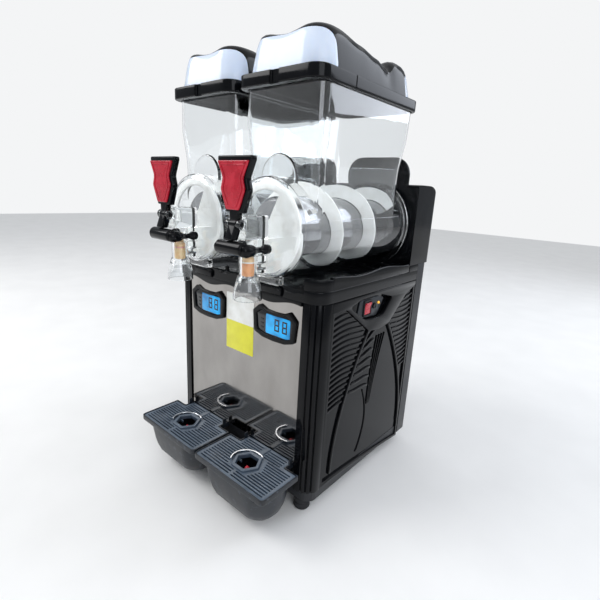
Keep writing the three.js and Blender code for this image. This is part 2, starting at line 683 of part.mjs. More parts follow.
// Black lever: paddle frame, neck, hub with its pivot pin, and a lower arm.
function tapHandle() {
  return join(
    alongY(paddleOutline(0), -100, -88, 3),
    box(-8, 8, -100, -90, 538, 563),
    turnedX(rodProfile(8, -8.6, 8.6), 12, 0, PIVOT_Y, PIVOT_Z),
    turnedX(rodProfile(3.9, -15, 15), 12, 0, PIVOT_Y, PIVOT_Z),
    alongX(polygon([[-103, 545], [-112, 521], [-97, 521], [-90, 541]]), -8, 8),
  );
}
const tapHandleInsert = () => alongY(paddleOutline(3), -104, -100 - GAP, 3);

// Yoke under the lever: a front bar, and an arm along each side of the tap tube.
function tapYoke() {
  const arm = [
    [0, -110], [9, -107], [10.6, -101], [9, -88], [5, -76], [4.5, -68], [8, -60], [7, -52], [0, -49],
  ];
  const bar = turnedX([[0, -30], [9, -30], [11, -28], [11, 28], [0, 28]], 16, 0, -103, 509.4);
  const arms = [-29, 29].map((x) => turnedY(arm, 10, x, 0, 507.5));
  return cut(join(bar, ...arms), box(-60, 60, -130, -40, 520.7, 540));
}

// Piston that closes the tap, with the cross pin the yoke's arms lift it by.
function tapPiston() {
  const stem = [
    [0, 460], [9, 460], [PISTON_RADIUS, 462], [PISTON_RADIUS, 491],
    [7, 493], [7, 509], [5, 511], [0, 511],
  ];
  return join(
    turnedZ(stem, 14, 0, TAP_Y, 0),
    turnedX(rodProfile(3, -20, 20), 8, 0, TAP_Y, 503),
  );
}

// Drip tray in plan; the neck at the back tucks under the steel panel.
function trayPlan(inset, back = NECK_BACK - inset) {
  const [x, n] = [TRAY_HALF - inset, NECK_HALF - inset];
  const [front, rear, r] = [-FRONT_REACH + inset, -22 - inset, 8];
  const shape = new THREE.Shape();
  shape.absarc(-x + r, front + r, r, Math.PI, 1.5 * Math.PI);
  shape.absarc(x - r, front + r, r, 1.5 * Math.PI, 2 * Math.PI);
  shape.lineTo(x, rear);
  shape.lineTo(n, rear);
  shape.lineTo(n, back);
  shape.lineTo(-n, back);
  shape.lineTo(-n, rear);
  shape.lineTo(-x, rear);
  return shape;
}

function dripTray() {
  const belly = (inset, top) => {
    const section = (z, half, front, back, r) => ({
      z, x0: -half + inset, x1: half - inset, y0: front + inset, y1: back - inset, r: r - inset,
    });
    return loft([
      section(TRAY_BOTTOM + inset, 58, -84, -28, 22),
      section(32 + inset, 73, -98, -18, 28),
      section(60, 82, -106, -14, 26),
      section(top, 88, -109, -24, 16),
    ]);
  };
  const ledge = TRAY_TOP - 6 - GAP;
  const rim = cut(alongZ(trayPlan(0), ledge - 4, TRAY_TOP), alongZ(trayPlan(3), ledge, TRAY_TOP + 1));
  const well = alongZ(roundedRect(-84, 84, -105, -29, 14), 80, TRAY_TOP + 1);
  return cut(join(rim, belly(0, ledge - 3)), belly(3, ledge - 2), well);
}

// Slotted grate that drops into the tray rim, with a raised eye under the nozzle. It stops
// short of the steel panel, so it lifts straight out.
function dripGrate() {
  const bottom = TRAY_TOP - 6;
  const plate = alongZ(trayPlan(3.4, -1), bottom, TRAY_TOP - 1);
  const slots = [];
  for (let i = 0; i < 9; i += 1) {
    const y = -103 + i * 8.4;
    for (const side of [-1, 1]) {
      const [x0, x1] = side > 0 ? [34, 84] : [-84, -34];
      slots.push(box(x0, x1, y, y + 4.2, bottom - 1, TRAY_TOP + 1));
    }
  }
  const eye = (half, deep) => polygon([
    [-half, -61], [-half * 0.5, -61 - deep], [half * 0.5, -61 - deep], [half, -61],
    [half * 0.5, -61 + deep], [-half * 0.5, -61 + deep]]);
  const collar = cut(
    alongZ(eye(30, 26), bottom, TRAY_TOP + 3),
    alongZ(eye(23, 19), bottom - 1, TRAY_TOP + 4),
  );
  return join(cut(plate, ...slots, alongZ(eye(26, 22), bottom - 1, TRAY_TOP + 1)), collar);
}

// Flip-up latch that holds the bowl's front foot to the deck.
function bowlLatch() {
  const lever = polygon([[-13, 423], [-8, 421.5], [-4.5, 421.5], [-4.5, 432], [-9, 436.5], [-13, 434]]);
  return clean(alongX(lever, -31, 22));
}

// ---- assembly ---------------------------------------------------------------------------

add('base_pan', basePan(), 'enamel');
for (const [end, y] of [['front', 22], ['rear', 345]]) {
  for (const [hand, x] of [['left', -166], ['right', 166]]) {
    add(`foot_${end}_${hand}`, foot(), 'rubber').position.set(x, y, 0);
  }
}
add('front_panel', frontPanel(), 'steel');
add('corner_post_left', cornerPost(-1), 'black');
add('corner_post_right', cornerPost(1), 'black');
add('side_panel_left', sidePanel(-1), 'black');
add('side_panel_right', sidePanel(1), 'black');
add('rear_panel', rearPanel(), 'enamel');
add('power_inlet', powerInlet(), 'rubber');
add('top_deck', topDeck(), 'black');
add('rear_cover', rearCover(), 'black');
add('switch_plate', switchPlate(), 'darkGrey');
add('rocker_switch', rocker(), 'red');
add('compressor', compressor(), 'enamel');
add('condenser', condenser(), 'aluminium');
add('fan_motor', fanMotor(), 'enamel');
add('fan_blades', fanBlades(), 'aluminium');
add('control_board', controlBoard(), 'board');

for (const [hand, x] of [['left', -TANK_X], ['right', TANK_X]]) {
  const tank = new THREE.Group();
  tank.position.x = x;
  machine.add(tank);
  add(`display_bezel_${hand}`, displayBezel(), 'black', tank);
  add(`display_window_${hand}`, displayWindow(), 'cyan', tank);
  add(`bowl_latch_${hand}`, bowlLatch(), 'black', tank);
  add(`bowl_${hand}`, bowl(), 'clear', tank);
  add(`lid_cover_${hand}`, lidCover(), 'black', tank);
  add(`lid_front_lens_${hand}`, lidLens(-40, 6, RIM_TOP + GAP, 826), 'pale', tank);
  add(`lid_rear_lens_${hand}`, lidLens(246, 320, RIM_TOP + GAP, 813), 'pale', tank);
  add(`auger_${hand}`, auger(), 'white', tank);
  add(`evaporator_drum_${hand}`, drum(), 'darkSteel', tank);
  add(`bowl_seal_${hand}`, bowlSeal(), 'rubber', tank);
  add(`drive_shaft_${hand}`, driveShaft(), 'steel', tank);
  add(`gear_motor_${hand}`, gearMotor(), 'enamel', tank);
  add(`tap_handle_${hand}`, tapHandle(), 'black', tank);
  add(`tap_handle_insert_${hand}`, tapHandleInsert(), 'red', tank);
  add(`tap_yoke_${hand}`, tapYoke(), 'black', tank);
  add(`tap_piston_${hand}`, tapPiston(), 'cream', tank);
  add(`drip_tray_${hand}`, dripTray(), 'darkGrey', tank);
  add(`drip_grate_${hand}`, dripGrate(), 'grate', tank);
}

const part = new THREE.Group();
part.add(machine);
export default part;
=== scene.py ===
"""Finished pieces and finishes of a twin-bowl slush machine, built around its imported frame.

Lengths in the sizes and outlines are millimetres in the maker's frame: x to the right, z up from the
table, and y = 0 on the steel front panel. The function place() turns them into the frame's metres.
"""
import math

import bmesh
import bpy
from mathutils import Matrix, Vector


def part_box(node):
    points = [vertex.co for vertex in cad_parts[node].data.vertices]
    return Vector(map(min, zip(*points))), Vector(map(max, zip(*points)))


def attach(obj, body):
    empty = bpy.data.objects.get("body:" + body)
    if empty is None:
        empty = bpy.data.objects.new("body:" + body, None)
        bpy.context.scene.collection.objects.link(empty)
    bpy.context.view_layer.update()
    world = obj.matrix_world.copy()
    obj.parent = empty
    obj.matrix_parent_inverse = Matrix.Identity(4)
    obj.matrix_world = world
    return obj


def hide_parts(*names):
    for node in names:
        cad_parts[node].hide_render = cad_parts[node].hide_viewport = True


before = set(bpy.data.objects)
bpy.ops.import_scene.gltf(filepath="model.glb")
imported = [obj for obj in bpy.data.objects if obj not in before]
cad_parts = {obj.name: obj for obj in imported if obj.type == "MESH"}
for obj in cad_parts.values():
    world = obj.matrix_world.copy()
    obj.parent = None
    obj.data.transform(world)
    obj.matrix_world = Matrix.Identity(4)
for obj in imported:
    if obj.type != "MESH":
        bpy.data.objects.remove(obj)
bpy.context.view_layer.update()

bl_info = {
    "name": "Slush machine maker",
    "version": (1, 0, 0),
    "blender": (4, 5, 0),
    "location": "View3D > Sidebar > Slush machine",
    "description": "Builds the finished pieces of a twin-bowl slush machine around its frame",
    "category": "Add Mesh",
}

MM = 0.001
PANEL_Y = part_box("front_panel")[0].y
HANDS = {"left": -1, "right": 1}
TANK_X = sum(corner.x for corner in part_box("bowl_right")) / 2 / MM

# The cabinet, the bowls and the taps are drawn from these sizes.
HALF_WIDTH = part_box("rear_cover")[1].x / MM
AXIS_Z = 536
POST_INNER_X = 161
POST_RADIUS = 30
DECK_BOTTOM = 419
DECK_TOP = 442
RAIL_TOP = 465
COVER_BOTTOM = 455
COVER_FRONT = 303
COVER_BACK = 400
COVER_TOP = 622
HUMP_TOP = 676
SIDE_FRONT = 30.3
SIDE_BACK = 343.7
SIDE_TOP = 418.7
HOPPER_TOP = 765
RIM_BOTTOM = 755
RIM_TOP = 775
LID_TOP = 838
TAP_Y = -68
PIVOT_Y = -96
PIVOT_Z = 545
TRAY_TOP = 105
DRUM_RADIUS = 52


def place(x, y, z):
    """A point of the maker's frame, in the frame's metres."""
    return Vector((x * MM, y * MM + PANEL_Y, z * MM))


def colour(code):
    """Linear RGBA of an sRGB hex colour."""
    values = [int(code[i:i + 2], 16) / 255 for i in (1, 3, 5)]
    linear = [v / 12.92 if v <= 0.04045 else ((v + 0.055) / 1.055) ** 2.4 for v in values]
    return (*linear, 1.0)


# ---- what a user may change -----------------------------------------------------------------


def length(name, description, size_mm, low_mm, high_mm):
    """A length property, shown in the scene's unit."""
    return bpy.props.FloatProperty(
        name=name, description=description, default=size_mm * MM, min=low_mm * MM, max=high_mm * MM,
        precision=4, subtype="DISTANCE", unit="LENGTH")


def tint(name, description, code):
    """A colour property, from an sRGB hex colour."""
    return bpy.props.FloatVectorProperty(
        name=name, description=description, default=colour(code), min=0.0, max=1.0, size=4, subtype="COLOR")


class SlushSizes(bpy.types.PropertyGroup):
    """Sizes of the moulded details."""
    auger_pitch: length("Auger pitch", "How far apart the auger's flights are", 107.5, 60, 140)
    auger_reach: length("Auger reach", "From the axis to the auger's scraping edge", 78, 60, 80)
    auger_turns: bpy.props.FloatProperty(
        name="Auger turns", description="How often the auger's blade goes round", default=2.9, min=1, max=4)
    flute_depth: length("Flute depth", "How deep the grooves in the corner posts are", 2.6, 0, 4)
    louvre_pitch: length("Louvre pitch", "How far apart the side panels' slats are", 11, 8, 20)
    louvre_half: length("Louvre half-width", "Half of a side panel slat's height", 2.2, 1, 4)
    grate_slot: length("Grate slot", "Width of the slots in the drip grates", 3.0, 2, 4)


class SlushColours(bpy.types.PropertyGroup):
    """Colours of the machine's plastics, steel and display."""
    body: tint("Body", "The black mouldings", "#050608")
    steel: tint("Steel", "The front panel", "#a6a3a0")
    paddle: tint("Paddle", "The tap levers' inserts and the switch", "#a80f24")
    auger: tint("Auger", "The augers", "#f5f3ee")
    lens: tint("Lens", "The lids' windows", "#d6e2f6")
    grate: tint("Grate", "The drip grates", "#37424f")
    tray: tint("Tray", "The drip trays", "#12161c")
    display: tint("Display", "The lit part of the displays", "#12a2e2")
    label_top: tint("Label, top", "The upper half of the label", "#f4f4f1")
    label_bottom: tint("Label, bottom", "The lower half of the label", "#e6e23c")


def chosen(name):
    """A colour that the user chose, as RGBA."""
    return tuple(getattr(bpy.context.scene.slush_colours, name))


# ---- finishes ------------------------------------------------------------------------------


def wire(tree, node, values):
    """Fill or link a node's inputs."""
    for key, value in values.items():
        if isinstance(value, bpy.types.NodeSocket):
            tree.links.new(value, node.inputs[key])
        else:
            node.inputs[key].default_value = value


def add(tree, kind, settings=None, inputs=None):
    """Add a node, give it its settings, and fill or link its inputs."""
    node = tree.nodes.new("ShaderNode" + kind)
    for key, value in (settings or {}).items():
        if key != "stops":
            setattr(node, key, value)
            continue
        marks = node.color_ramp.elements
        while len(marks) < len(value):
            marks.new(0.5)
        for mark, (position, shade) in zip(marks, value):
            mark.position = position
            mark.color = shade if isinstance(shade, tuple) else (shade, shade, shade, 1)
    wire(tree, node, inputs or {})
    return node


def pattern(tree, size_mm, stretch=(1, 1, 1), detail=3.0, kind="TexNoise", seed=0.0):
    """A noise whose blotches are about size_mm wide, stretched along X, Y or Z."""
    spot = add(tree, "TexCoord").outputs["Object"]
    scale = tuple(1000 / size_mm / s for s in stretch)
    moved = add(tree, "Mapping", inputs={"Vector": spot, "Location": (seed, seed, seed), "Scale": scale})
    settings = {"Vector": moved.outputs["Vector"], "Scale": 1.0}
    if kind == "TexNoise":
        settings["Detail"] = detail
    return add(tree, kind, inputs=settings).outputs[0]


def blank(name):
    """A new material with its Principled shader, ready for its colours and patterns."""
    material = bpy.data.materials.new(name)
    material.use_nodes = True
    tree = material.node_tree
    shader = tree.nodes["Principled BSDF"]
    return material, tree, shader


def dust(tree, amount=1.0):
    """How much settled dust a point has: only upward faces hold it, in uneven drifts."""
    facing = add(tree, "NewGeometry").outputs["Normal"]
    up = add(tree, "SeparateXYZ", inputs={0: facing}).outputs["Z"]
    level = add(tree, "ValToRGB", {"stops": ((0.55, 0.0), (0.95, 1.0))}, {"Fac": up}).outputs["Color"]
    drift = add(tree, "ValToRGB", {"stops": ((0.35, 0.35), (0.7, 1.0))},
                {"Fac": pattern(tree, 28, seed=3.0)}).outputs["Color"]
    both = add(tree, "Math", {"operation": "MULTIPLY"}, {0: level, 1: drift}).outputs[0]
    return add(tree, "Math", {"operation": "MULTIPLY"}, {0: both, 1: amount}).outputs[0]


def gloss_black():
    """ABS, injection-moulded in a polished tool: deep black, mirror gloss, a faint orange peel,
    finger smudges that dull it in patches and dust on what faces up."""
    material, tree, shader = blank("gloss black moulded ABS")
    smudge = pattern(tree, 42, detail=5.0)
    settled = dust(tree)
    base = add(tree, "ValToRGB", {"stops": ((0.3, chosen("body")), (0.75, colour("#0b0c0f")))},
               {"Fac": smudge}).outputs["Color"]
    speck = add(tree, "Math", {"operation": "MULTIPLY"}, {0: settled, 1: 0.02}).outputs[0]
    rough = add(tree, "ValToRGB", {"stops": ((0.38, 0.07), (0.62, 0.13), (0.8, 0.22))},
                {"Fac": smudge}).outputs["Color"]
    dulled = add(tree, "Mix", {"data_type": "RGBA"},
                 {0: settled, 6: rough, 7: (0.3, 0.3, 0.3, 1)}).outputs[2]
    wire(tree, shader, {
        "Base Color": add(tree, "Mix", {"data_type": "RGBA"},
                          {0: speck, 6: base, 7: colour("#77777a")}).outputs[2],
        "Roughness": dulled,
        "IOR": 1.53,
        "Specular IOR Level": 0.16,
        "Normal": add(tree, "Bump",
                      inputs={"Height": pattern(tree, 3.2, detail=2.0), "Distance": 0.035 * MM,
                              "Strength": 0.6}).outputs["Normal"],
    })
    return material


def polished_steel():
    """Stainless steel sheet, bright annealed: warm near-mirror, with a faint upright grain from
    rolling, wiped smears and a slight waviness of thin sheet."""
    material, tree, shader = blank("bright annealed stainless sheet")
    grain = pattern(tree, 0.9, stretch=(1, 1, 90), detail=2.0)
    smear = pattern(tree, 70, stretch=(1, 1, 1.8), detail=6.0, seed=5.0)
    wave = pattern(tree, 130, detail=1.0, seed=9.0)
    rough = add(tree, "ValToRGB", {"stops": ((0.35, 0.06), (0.6, 0.11), (0.78, 0.2))},
                {"Fac": smear}).outputs["Color"]
    sheet = add(tree, "ValToRGB", {"stops": ((0.3, chosen("steel")), (0.7, colour("#928f8c")))},
                {"Fac": smear}).outputs["Color"]
    first = add(tree, "Bump",
                inputs={"Height": wave, "Distance": 0.9 * MM, "Strength": 0.35}).outputs["Normal"]
    wire(tree, shader, {
        "Base Color": sheet,
        "Metallic": 1.0,
        "Roughness": rough,
        "Anisotropic": 0.35,
        "Normal": add(tree, "Bump",
                      inputs={"Height": grain, "Distance": 0.012 * MM, "Strength": 0.5,
                              "Normal": first}).outputs["Normal"],
    })
    return material


def satin_steel():
    """Stainless steel, turned: fine rings round the axis and a softer sheen than the sheet."""
    material, tree, shader = blank("turned stainless steel")
    rings = pattern(tree, 1.1, stretch=(60, 1, 60), detail=2.0)
    frost = pattern(tree, 30, detail=4.0, seed=2.0)
    wire(tree, shader, {
        "Base Color": add(tree, "ValToRGB", {"stops": ((0.3, colour("#8b8c90")), (0.75, colour("#a3a3a4")))},
                          {"Fac": frost}).outputs["Color"],
        "Metallic": 1.0,
        "Roughness": add(tree, "ValToRGB", {"stops": ((0.3, 0.08), (0.7, 0.16))},
                         {"Fac": rings}).outputs["Color"],
        "Anisotropic": 0.3,
        "Normal": add(tree, "Bump",
                      inputs={"Height": rings, "Distance": 0.004 * MM, "Strength": 0.4}).outputs["Normal"],
    })
    return material


def bright_chrome():
    """Chrome plate on a pressed ring: cool mirror with light water marks."""
    material, tree, shader = blank("bright chrome plate")
    marks = pattern(tree, 9, detail=4.0)
    wire(tree, shader, {
        "Base Color": add(tree, "ValToRGB", {"stops": ((0.3, colour("#dfe2e6")), (0.8, colour("#c6c9cd")))},
                          {"Fac": marks}).outputs["Color"],
        "Metallic": 1.0,
        "Roughness": add(tree, "ValToRGB", {"stops": ((0.4, 0.05), (0.75, 0.16))},
                         {"Fac": marks}).outputs["Color"],
    })
    return material


def painted_steel():
    """Powder-coated steel: near black with the fine pebbled skin that baking leaves, dusty on top."""
    material, tree, shader = blank("powder coated steel")
    pebble = pattern(tree, 1.6, detail=2.0)
    patch = pattern(tree, 55, detail=4.0, seed=4.0)
    settled = dust(tree, 0.25)
    base = add(tree, "ValToRGB", {"stops": ((0.3, colour("#15161a")), (0.7, colour("#1f2126")))},
               {"Fac": patch}).outputs["Color"]
    wire(tree, shader, {
        "Base Color": add(tree, "Mix", {"data_type": "RGBA"},
                          {0: settled, 6: base, 7: colour("#8b8a88")}).outputs[2],
        "Roughness": add(tree, "ValToRGB", {"stops": ((0.3, 0.36), (0.75, 0.5))},
                         {"Fac": patch}).outputs["Color"],
        "Normal": add(tree, "Bump",
                      inputs={"Height": pebble, "Distance": 0.06 * MM, "Strength": 0.7}).outputs["Normal"],
    })
    return material


def clear_plastic():
    """Polycarbonate, injection-moulded: clear with a cool edge tint, wiped smudges, fine scratches
    and a slight flow ripple. Shadows pass through it, as light does through thin clear walls."""
    material, tree, shader = blank("clear moulded polycarbonate")
    smudge = pattern(tree, 34, detail=6.0)
    scratch = pattern(tree, 0.8, stretch=(40, 40, 1.5), detail=1.0, seed=7.0)
    ripple = pattern(tree, 46, stretch=(1, 1, 2.2), detail=1.0, seed=1.0)
    wire(tree, shader, {
        "Base Color": colour("#fbfdfe"),
        "Roughness": add(tree, "ValToRGB", {"stops": ((0.42, 0.0), (0.6, 0.02), (0.8, 0.08))},
                         {"Fac": smudge}).outputs["Color"],
        "IOR": 1.585,
        "Transmission Weight": 1.0,
        "Normal": add(tree, "Bump",
                      inputs={"Height": scratch, "Distance": 0.004 * MM, "Strength": 0.35,
                              "Normal": add(tree, "Bump",
                                            inputs={"Height": ripple, "Distance": 0.5 * MM,
                                                    "Strength": 0.4}).outputs["Normal"]}).outputs["Normal"],
    })
    shadow = add(tree, "LightPath").outputs["Is Shadow Ray"]
    hole = add(tree, "BsdfTransparent", inputs={"Color": colour("#f8fbfc")})
    mixed = add(tree, "MixShader", inputs={0: shadow, 1: shader.outputs[0], 2: hole.outputs[0]})
    tree.links.new(mixed.outputs[0], tree.nodes["Material Output"].inputs["Surface"])
    return material


def pale_lens():
    """Opal acrylic, moulded: milky blue-white that glows with the light behind it, high gloss."""
    material, tree, shader = blank("opal moulded acrylic")
    cloud = pattern(tree, 60, detail=3.0)
    wire(tree, shader, {
        "Base Color": add(tree, "ValToRGB", {"stops": ((0.25, chosen("lens")), (0.75, colour("#e3ecfb")))},
                          {"Fac": cloud}).outputs["Color"],
        "Roughness": add(tree, "ValToRGB", {"stops": ((0.4, 0.12), (0.75, 0.26))},
                         {"Fac": pattern(tree, 20, detail=5.0, seed=3.0)}).outputs["Color"],
        "IOR": 1.49,
        "Subsurface Weight": 0.35,
        "Subsurface Radius": (0.004, 0.005, 0.006),
        "Normal": add(tree, "Bump",
                      inputs={"Height": pattern(tree, 4, detail=1.0, seed=2.0), "Distance": 0.02 * MM,
                              "Strength": 0.4}).outputs["Normal"],
    })
    return material


def red_plastic():
    """ABS, moulded and spark-eroded: signal red, semi-gloss, rubbed shinier and darker by fingers."""
    material, tree, shader = blank("red moulded ABS")
    touch = pattern(tree, 18, detail=5.0)
    wire(tree, shader, {
        "Base Color": add(tree, "ValToRGB", {"stops": ((0.3, chosen("paddle")), (0.72, colour("#c41a33")))},
                          {"Fac": touch}).outputs["Color"],
        "Roughness": add(tree, "ValToRGB", {"stops": ((0.35, 0.2), (0.7, 0.38))},
                         {"Fac": touch}).outputs["Color"],
        "IOR": 1.53,
        "Subsurface Weight": 0.06,
        "Subsurface Radius": (0.002, 0.0006, 0.0004),
        "Normal": add(tree, "Bump",
                      inputs={"Height": pattern(tree, 0.9, detail=2.0, seed=1.0), "Distance": 0.02 * MM,
                              "Strength": 0.6}).outputs["Normal"],
    })
    return material


def slate_plastic():
    """Polypropylene, moulded with a leathered tool: blue-grey, low sheen, pale dried splashes and
    scuffed high spots."""
    material, tree, shader = blank("slate moulded polypropylene")
    grain = pattern(tree, 1.3, detail=3.0)
    patch = pattern(tree, 38, detail=5.0, seed=6.0)
    splash = add(tree, "ValToRGB", {"stops": ((0.6, 0.0), (0.68, 0.35), (0.74, 0.0))},
                 {"Fac": pattern(tree, 11, detail=6.0, seed=8.0)}).outputs["Color"]
    base = add(tree, "ValToRGB", {"stops": ((0.3, chosen("tray")), (0.7, colour("#1d232b")))},
               {"Fac": patch}).outputs["Color"]
    wire(tree, shader, {
        "Base Color": add(tree, "Mix", {"data_type": "RGBA"},
                          {0: splash, 6: base, 7: colour("#59626f")}).outputs[2],
        "Roughness": add(tree, "ValToRGB", {"stops": ((0.3, 0.3), (0.7, 0.46))},
                         {"Fac": patch}).outputs["Color"],
        "IOR": 1.49,
        "Normal": add(tree, "Bump",
                      inputs={"Height": grain, "Distance": 0.04 * MM, "Strength": 0.6}).outputs["Normal"],
    })
    return material


def grate_plastic():
    """The trays' polypropylene in its paler grate colour, worn smooth on top by cups."""
    material, tree, shader = blank("grey moulded polypropylene")
    patch = pattern(tree, 26, detail=5.0, seed=2.0)
    worn = dust(tree, 0.35)
    base = add(tree, "ValToRGB", {"stops": ((0.3, chosen("grate")), (0.7, colour("#485564")))},
               {"Fac": patch}).outputs["Color"]
    wire(tree, shader, {
        "Base Color": add(tree, "Mix", {"data_type": "RGBA"},
                          {0: worn, 6: base, 7: colour("#8793a0")}).outputs[2],
        "Roughness": add(tree, "ValToRGB", {"stops": ((0.3, 0.26), (0.7, 0.42))},
                         {"Fac": patch}).outputs["Color"],
        "IOR": 1.49,
        "Normal": add(tree, "Bump",
                      inputs={"Height": pattern(tree, 1.1, detail=2.0), "Distance": 0.03 * MM,
                              "Strength": 0.5}).outputs["Normal"],
    })
    return material


def white_plastic():
    """Acetal, moulded: warm white with a little depth, satin, faint flow lines."""
    material, tree, shader = blank("white moulded acetal")
    flow = pattern(tree, 16, stretch=(1, 4, 1), detail=4.0)
    wire(tree, shader, {
        "Base Color": add(tree, "ValToRGB", {"stops": ((0.3, chosen("auger")), (0.7, colour("#fffefb")))},
                          {"Fac": flow}).outputs["Color"],
        "Roughness": add(tree, "ValToRGB", {"stops": ((0.3, 0.26), (0.7, 0.4))},
                         {"Fac": flow}).outputs["Color"],
        "IOR": 1.48,
        "Subsurface Weight": 0.04,
        "Subsurface Radius": (0.003, 0.0028, 0.0025),
        "Normal": add(tree, "Bump",
                      inputs={"Height": flow, "Distance": 0.03 * MM, "Strength": 0.4}).outputs["Normal"],
    })
    return material


def cream_plastic(name="cream moulded acetal", light="#f3d6a4", dark="#e2b277"):
    """Acetal stained by syrup: cream where it is rubbed and amber where it is wet."""
    material, tree, shader = blank(name)
    stain = pattern(tree, 10, stretch=(1, 1, 1.6), detail=4.0)
    wire(tree, shader, {
        "Base Color": add(tree, "ValToRGB", {"stops": ((0.3, colour(dark)), (0.7, colour(light)))},
                          {"Fac": stain}).outputs["Color"],
        "Roughness": add(tree, "ValToRGB", {"stops": ((0.3, 0.2), (0.7, 0.36))},
                         {"Fac": stain}).outputs["Color"],
        "IOR": 1.48,
        "Subsurface Weight": 0.2,
        "Subsurface Radius": (0.004, 0.002, 0.001),
    })
    return material


def rubber():
    """Nitrile rubber, moulded: soft black with a grey bloom and a matt, slightly pitted skin."""
    material, tree, shader = blank("black moulded nitrile rubber")
    bloom = pattern(tree, 14, detail=4.0)
    wire(tree, shader, {
        "Base Color": add(tree, "ValToRGB", {"stops": ((0.3, colour("#141517")), (0.75, colour("#26272a")))},
                          {"Fac": bloom}).outputs["Color"],
        "Roughness": add(tree, "ValToRGB", {"stops": ((0.3, 0.62), (0.7, 0.82))},
                         {"Fac": bloom}).outputs["Color"],
        "Normal": add(tree, "Bump",
                      inputs={"Height": pattern(tree, 0.8, detail=2.0, seed=4.0), "Distance": 0.05 * MM,
                              "Strength": 0.6}).outputs["Normal"],
    })
    return material


def raw_aluminium():
    """Aluminium, mill finish: pale grey metal with streaks along its rolling and dull oxide spots."""
    material, tree, shader = blank("mill finish aluminium")
    streak = pattern(tree, 1.2, stretch=(1, 50, 1), detail=2.0)
    oxide = pattern(tree, 22, detail=5.0, seed=3.0)
    wire(tree, shader, {
        "Base Color": add(tree, "ValToRGB", {"stops": ((0.3, colour("#b4b7ba")), (0.7, colour("#9ba0a5")))},
                          {"Fac": oxide}).outputs["Color"],
        "Metallic": 1.0,
        "Roughness": add(tree, "ValToRGB", {"stops": ((0.3, 0.3), (0.7, 0.5))},
                         {"Fac": oxide}).outputs["Color"],
        "Normal": add(tree, "Bump",
                      inputs={"Height": streak, "Distance": 0.02 * MM, "Strength": 0.5}).outputs["Normal"],
    })
    return material


def circuit_board():
    """Glass-epoxy board: green solder mask over copper tracks about 2 mm apart."""
    material, tree, shader = blank("glass epoxy circuit board")
    cells = pattern(tree, 6.0, stretch=(1, 1, 2), kind="TexVoronoi")
    tracks = add(tree, "ValToRGB", {"stops": ((0.32, 0.0), (0.36, 1.0))}, {"Fac": cells}).outputs["Color"]
    wire(tree, shader, {
        "Base Color": add(tree, "Mix", {"data_type": "RGBA"},
                          {0: tracks, 6: colour("#12452a"), 7: colour("#2c7a46")}).outputs[2],
        "Roughness": add(tree, "ValToRGB", {"stops": ((0.3, 0.25), (0.7, 0.45))},
                         {"Fac": pattern(tree, 9)}).outputs["Color"],
        "Normal": add(tree, "Bump",
                      inputs={"Height": tracks, "Distance": 0.05 * MM, "Strength": 0.5}).outputs["Normal"],
    })
    return material


def display_glass():
    """Smoked acrylic window: almost black, flat and glossy, lightly finger-marked."""
    material, tree, shader = blank("smoked acrylic window")
    marks = pattern(tree, 14, detail=5.0)
    wire(tree, shader, {
        "Base Color": add(tree, "ValToRGB", {"stops": ((0.3, colour("#05080c")), (0.75, colour("#0b1017")))},
                          {"Fac": marks}).outputs["Color"],
        "Roughness": add(tree, "ValToRGB", {"stops": ((0.45, 0.04), (0.75, 0.16))},
                         {"Fac": marks}).outputs["Color"],
        "IOR": 1.49,
    })
    return material


def lit_panel(name, dim, bright, power):
    """Backlit liquid crystal: cyan light, brighter near its lamps, behind a fine 0.9 mm dot grid."""
    material, tree, shader = blank(name)
    lamps = pattern(tree, 26, detail=1.0)
    dots = add(tree, "ValToRGB", {"stops": ((0.4, 0.86), (0.6, 1.0))},
               {"Fac": pattern(tree, 0.9, detail=0.0, seed=2.0)}).outputs["Color"]
    glow = add(tree, "ValToRGB", {"stops": ((0.3, dim), (0.7, bright))}, {"Fac": lamps}).outputs["Color"]
    shade = add(tree, "Mix", {"data_type": "RGBA", "blend_type": "MULTIPLY"}, {0: 1.0, 6: glow, 7: dots})
    wire(tree, shader, {
        "Base Color": glow,
        "Roughness": 0.12,
        "Emission Color": shade.outputs[2],
        "Emission Strength": power,
    })
    return material


def label_film(name, base, worn):
    """Printed vinyl label: flat ink under satin film, with lifted air specks and a faded cast."""
    material, tree, shader = blank(name)
    fade = pattern(tree, 24, detail=4.0)
    wire(tree, shader, {
        "Base Color": add(tree, "ValToRGB", {"stops": ((0.3, base), (0.8, worn))},
                          {"Fac": fade}).outputs["Color"],
        "Roughness": add(tree, "ValToRGB", {"stops": ((0.35, 0.28), (0.7, 0.44))},
                         {"Fac": fade}).outputs["Color"],
        "Normal": add(tree, "Bump",
                      inputs={"Height": pattern(tree, 5.0, detail=2.0, seed=1.0), "Distance": 0.03 * MM,
                              "Strength": 0.4}).outputs["Normal"],
    })
    return material


def pale_floor():
    """Seamless studio paper: pale warm grey with barely visible fibre mottling."""
    material, tree, shader = blank("pale studio paper")
    mottle = pattern(tree, 160, detail=5.0)
    wire(tree, shader, {
        "Base Color": add(tree, "ValToRGB", {"stops": ((0.3, colour("#f1f0ee")), (0.7, colour("#f6f5f3")))},
                          {"Fac": mottle}).outputs["Color"],
        "Roughness": add(tree, "ValToRGB", {"stops": ((0.3, 0.55), (0.7, 0.7))},
                         {"Fac": pattern(tree, 40)}).outputs["Color"],
    })
    return material


FINISHES = {}


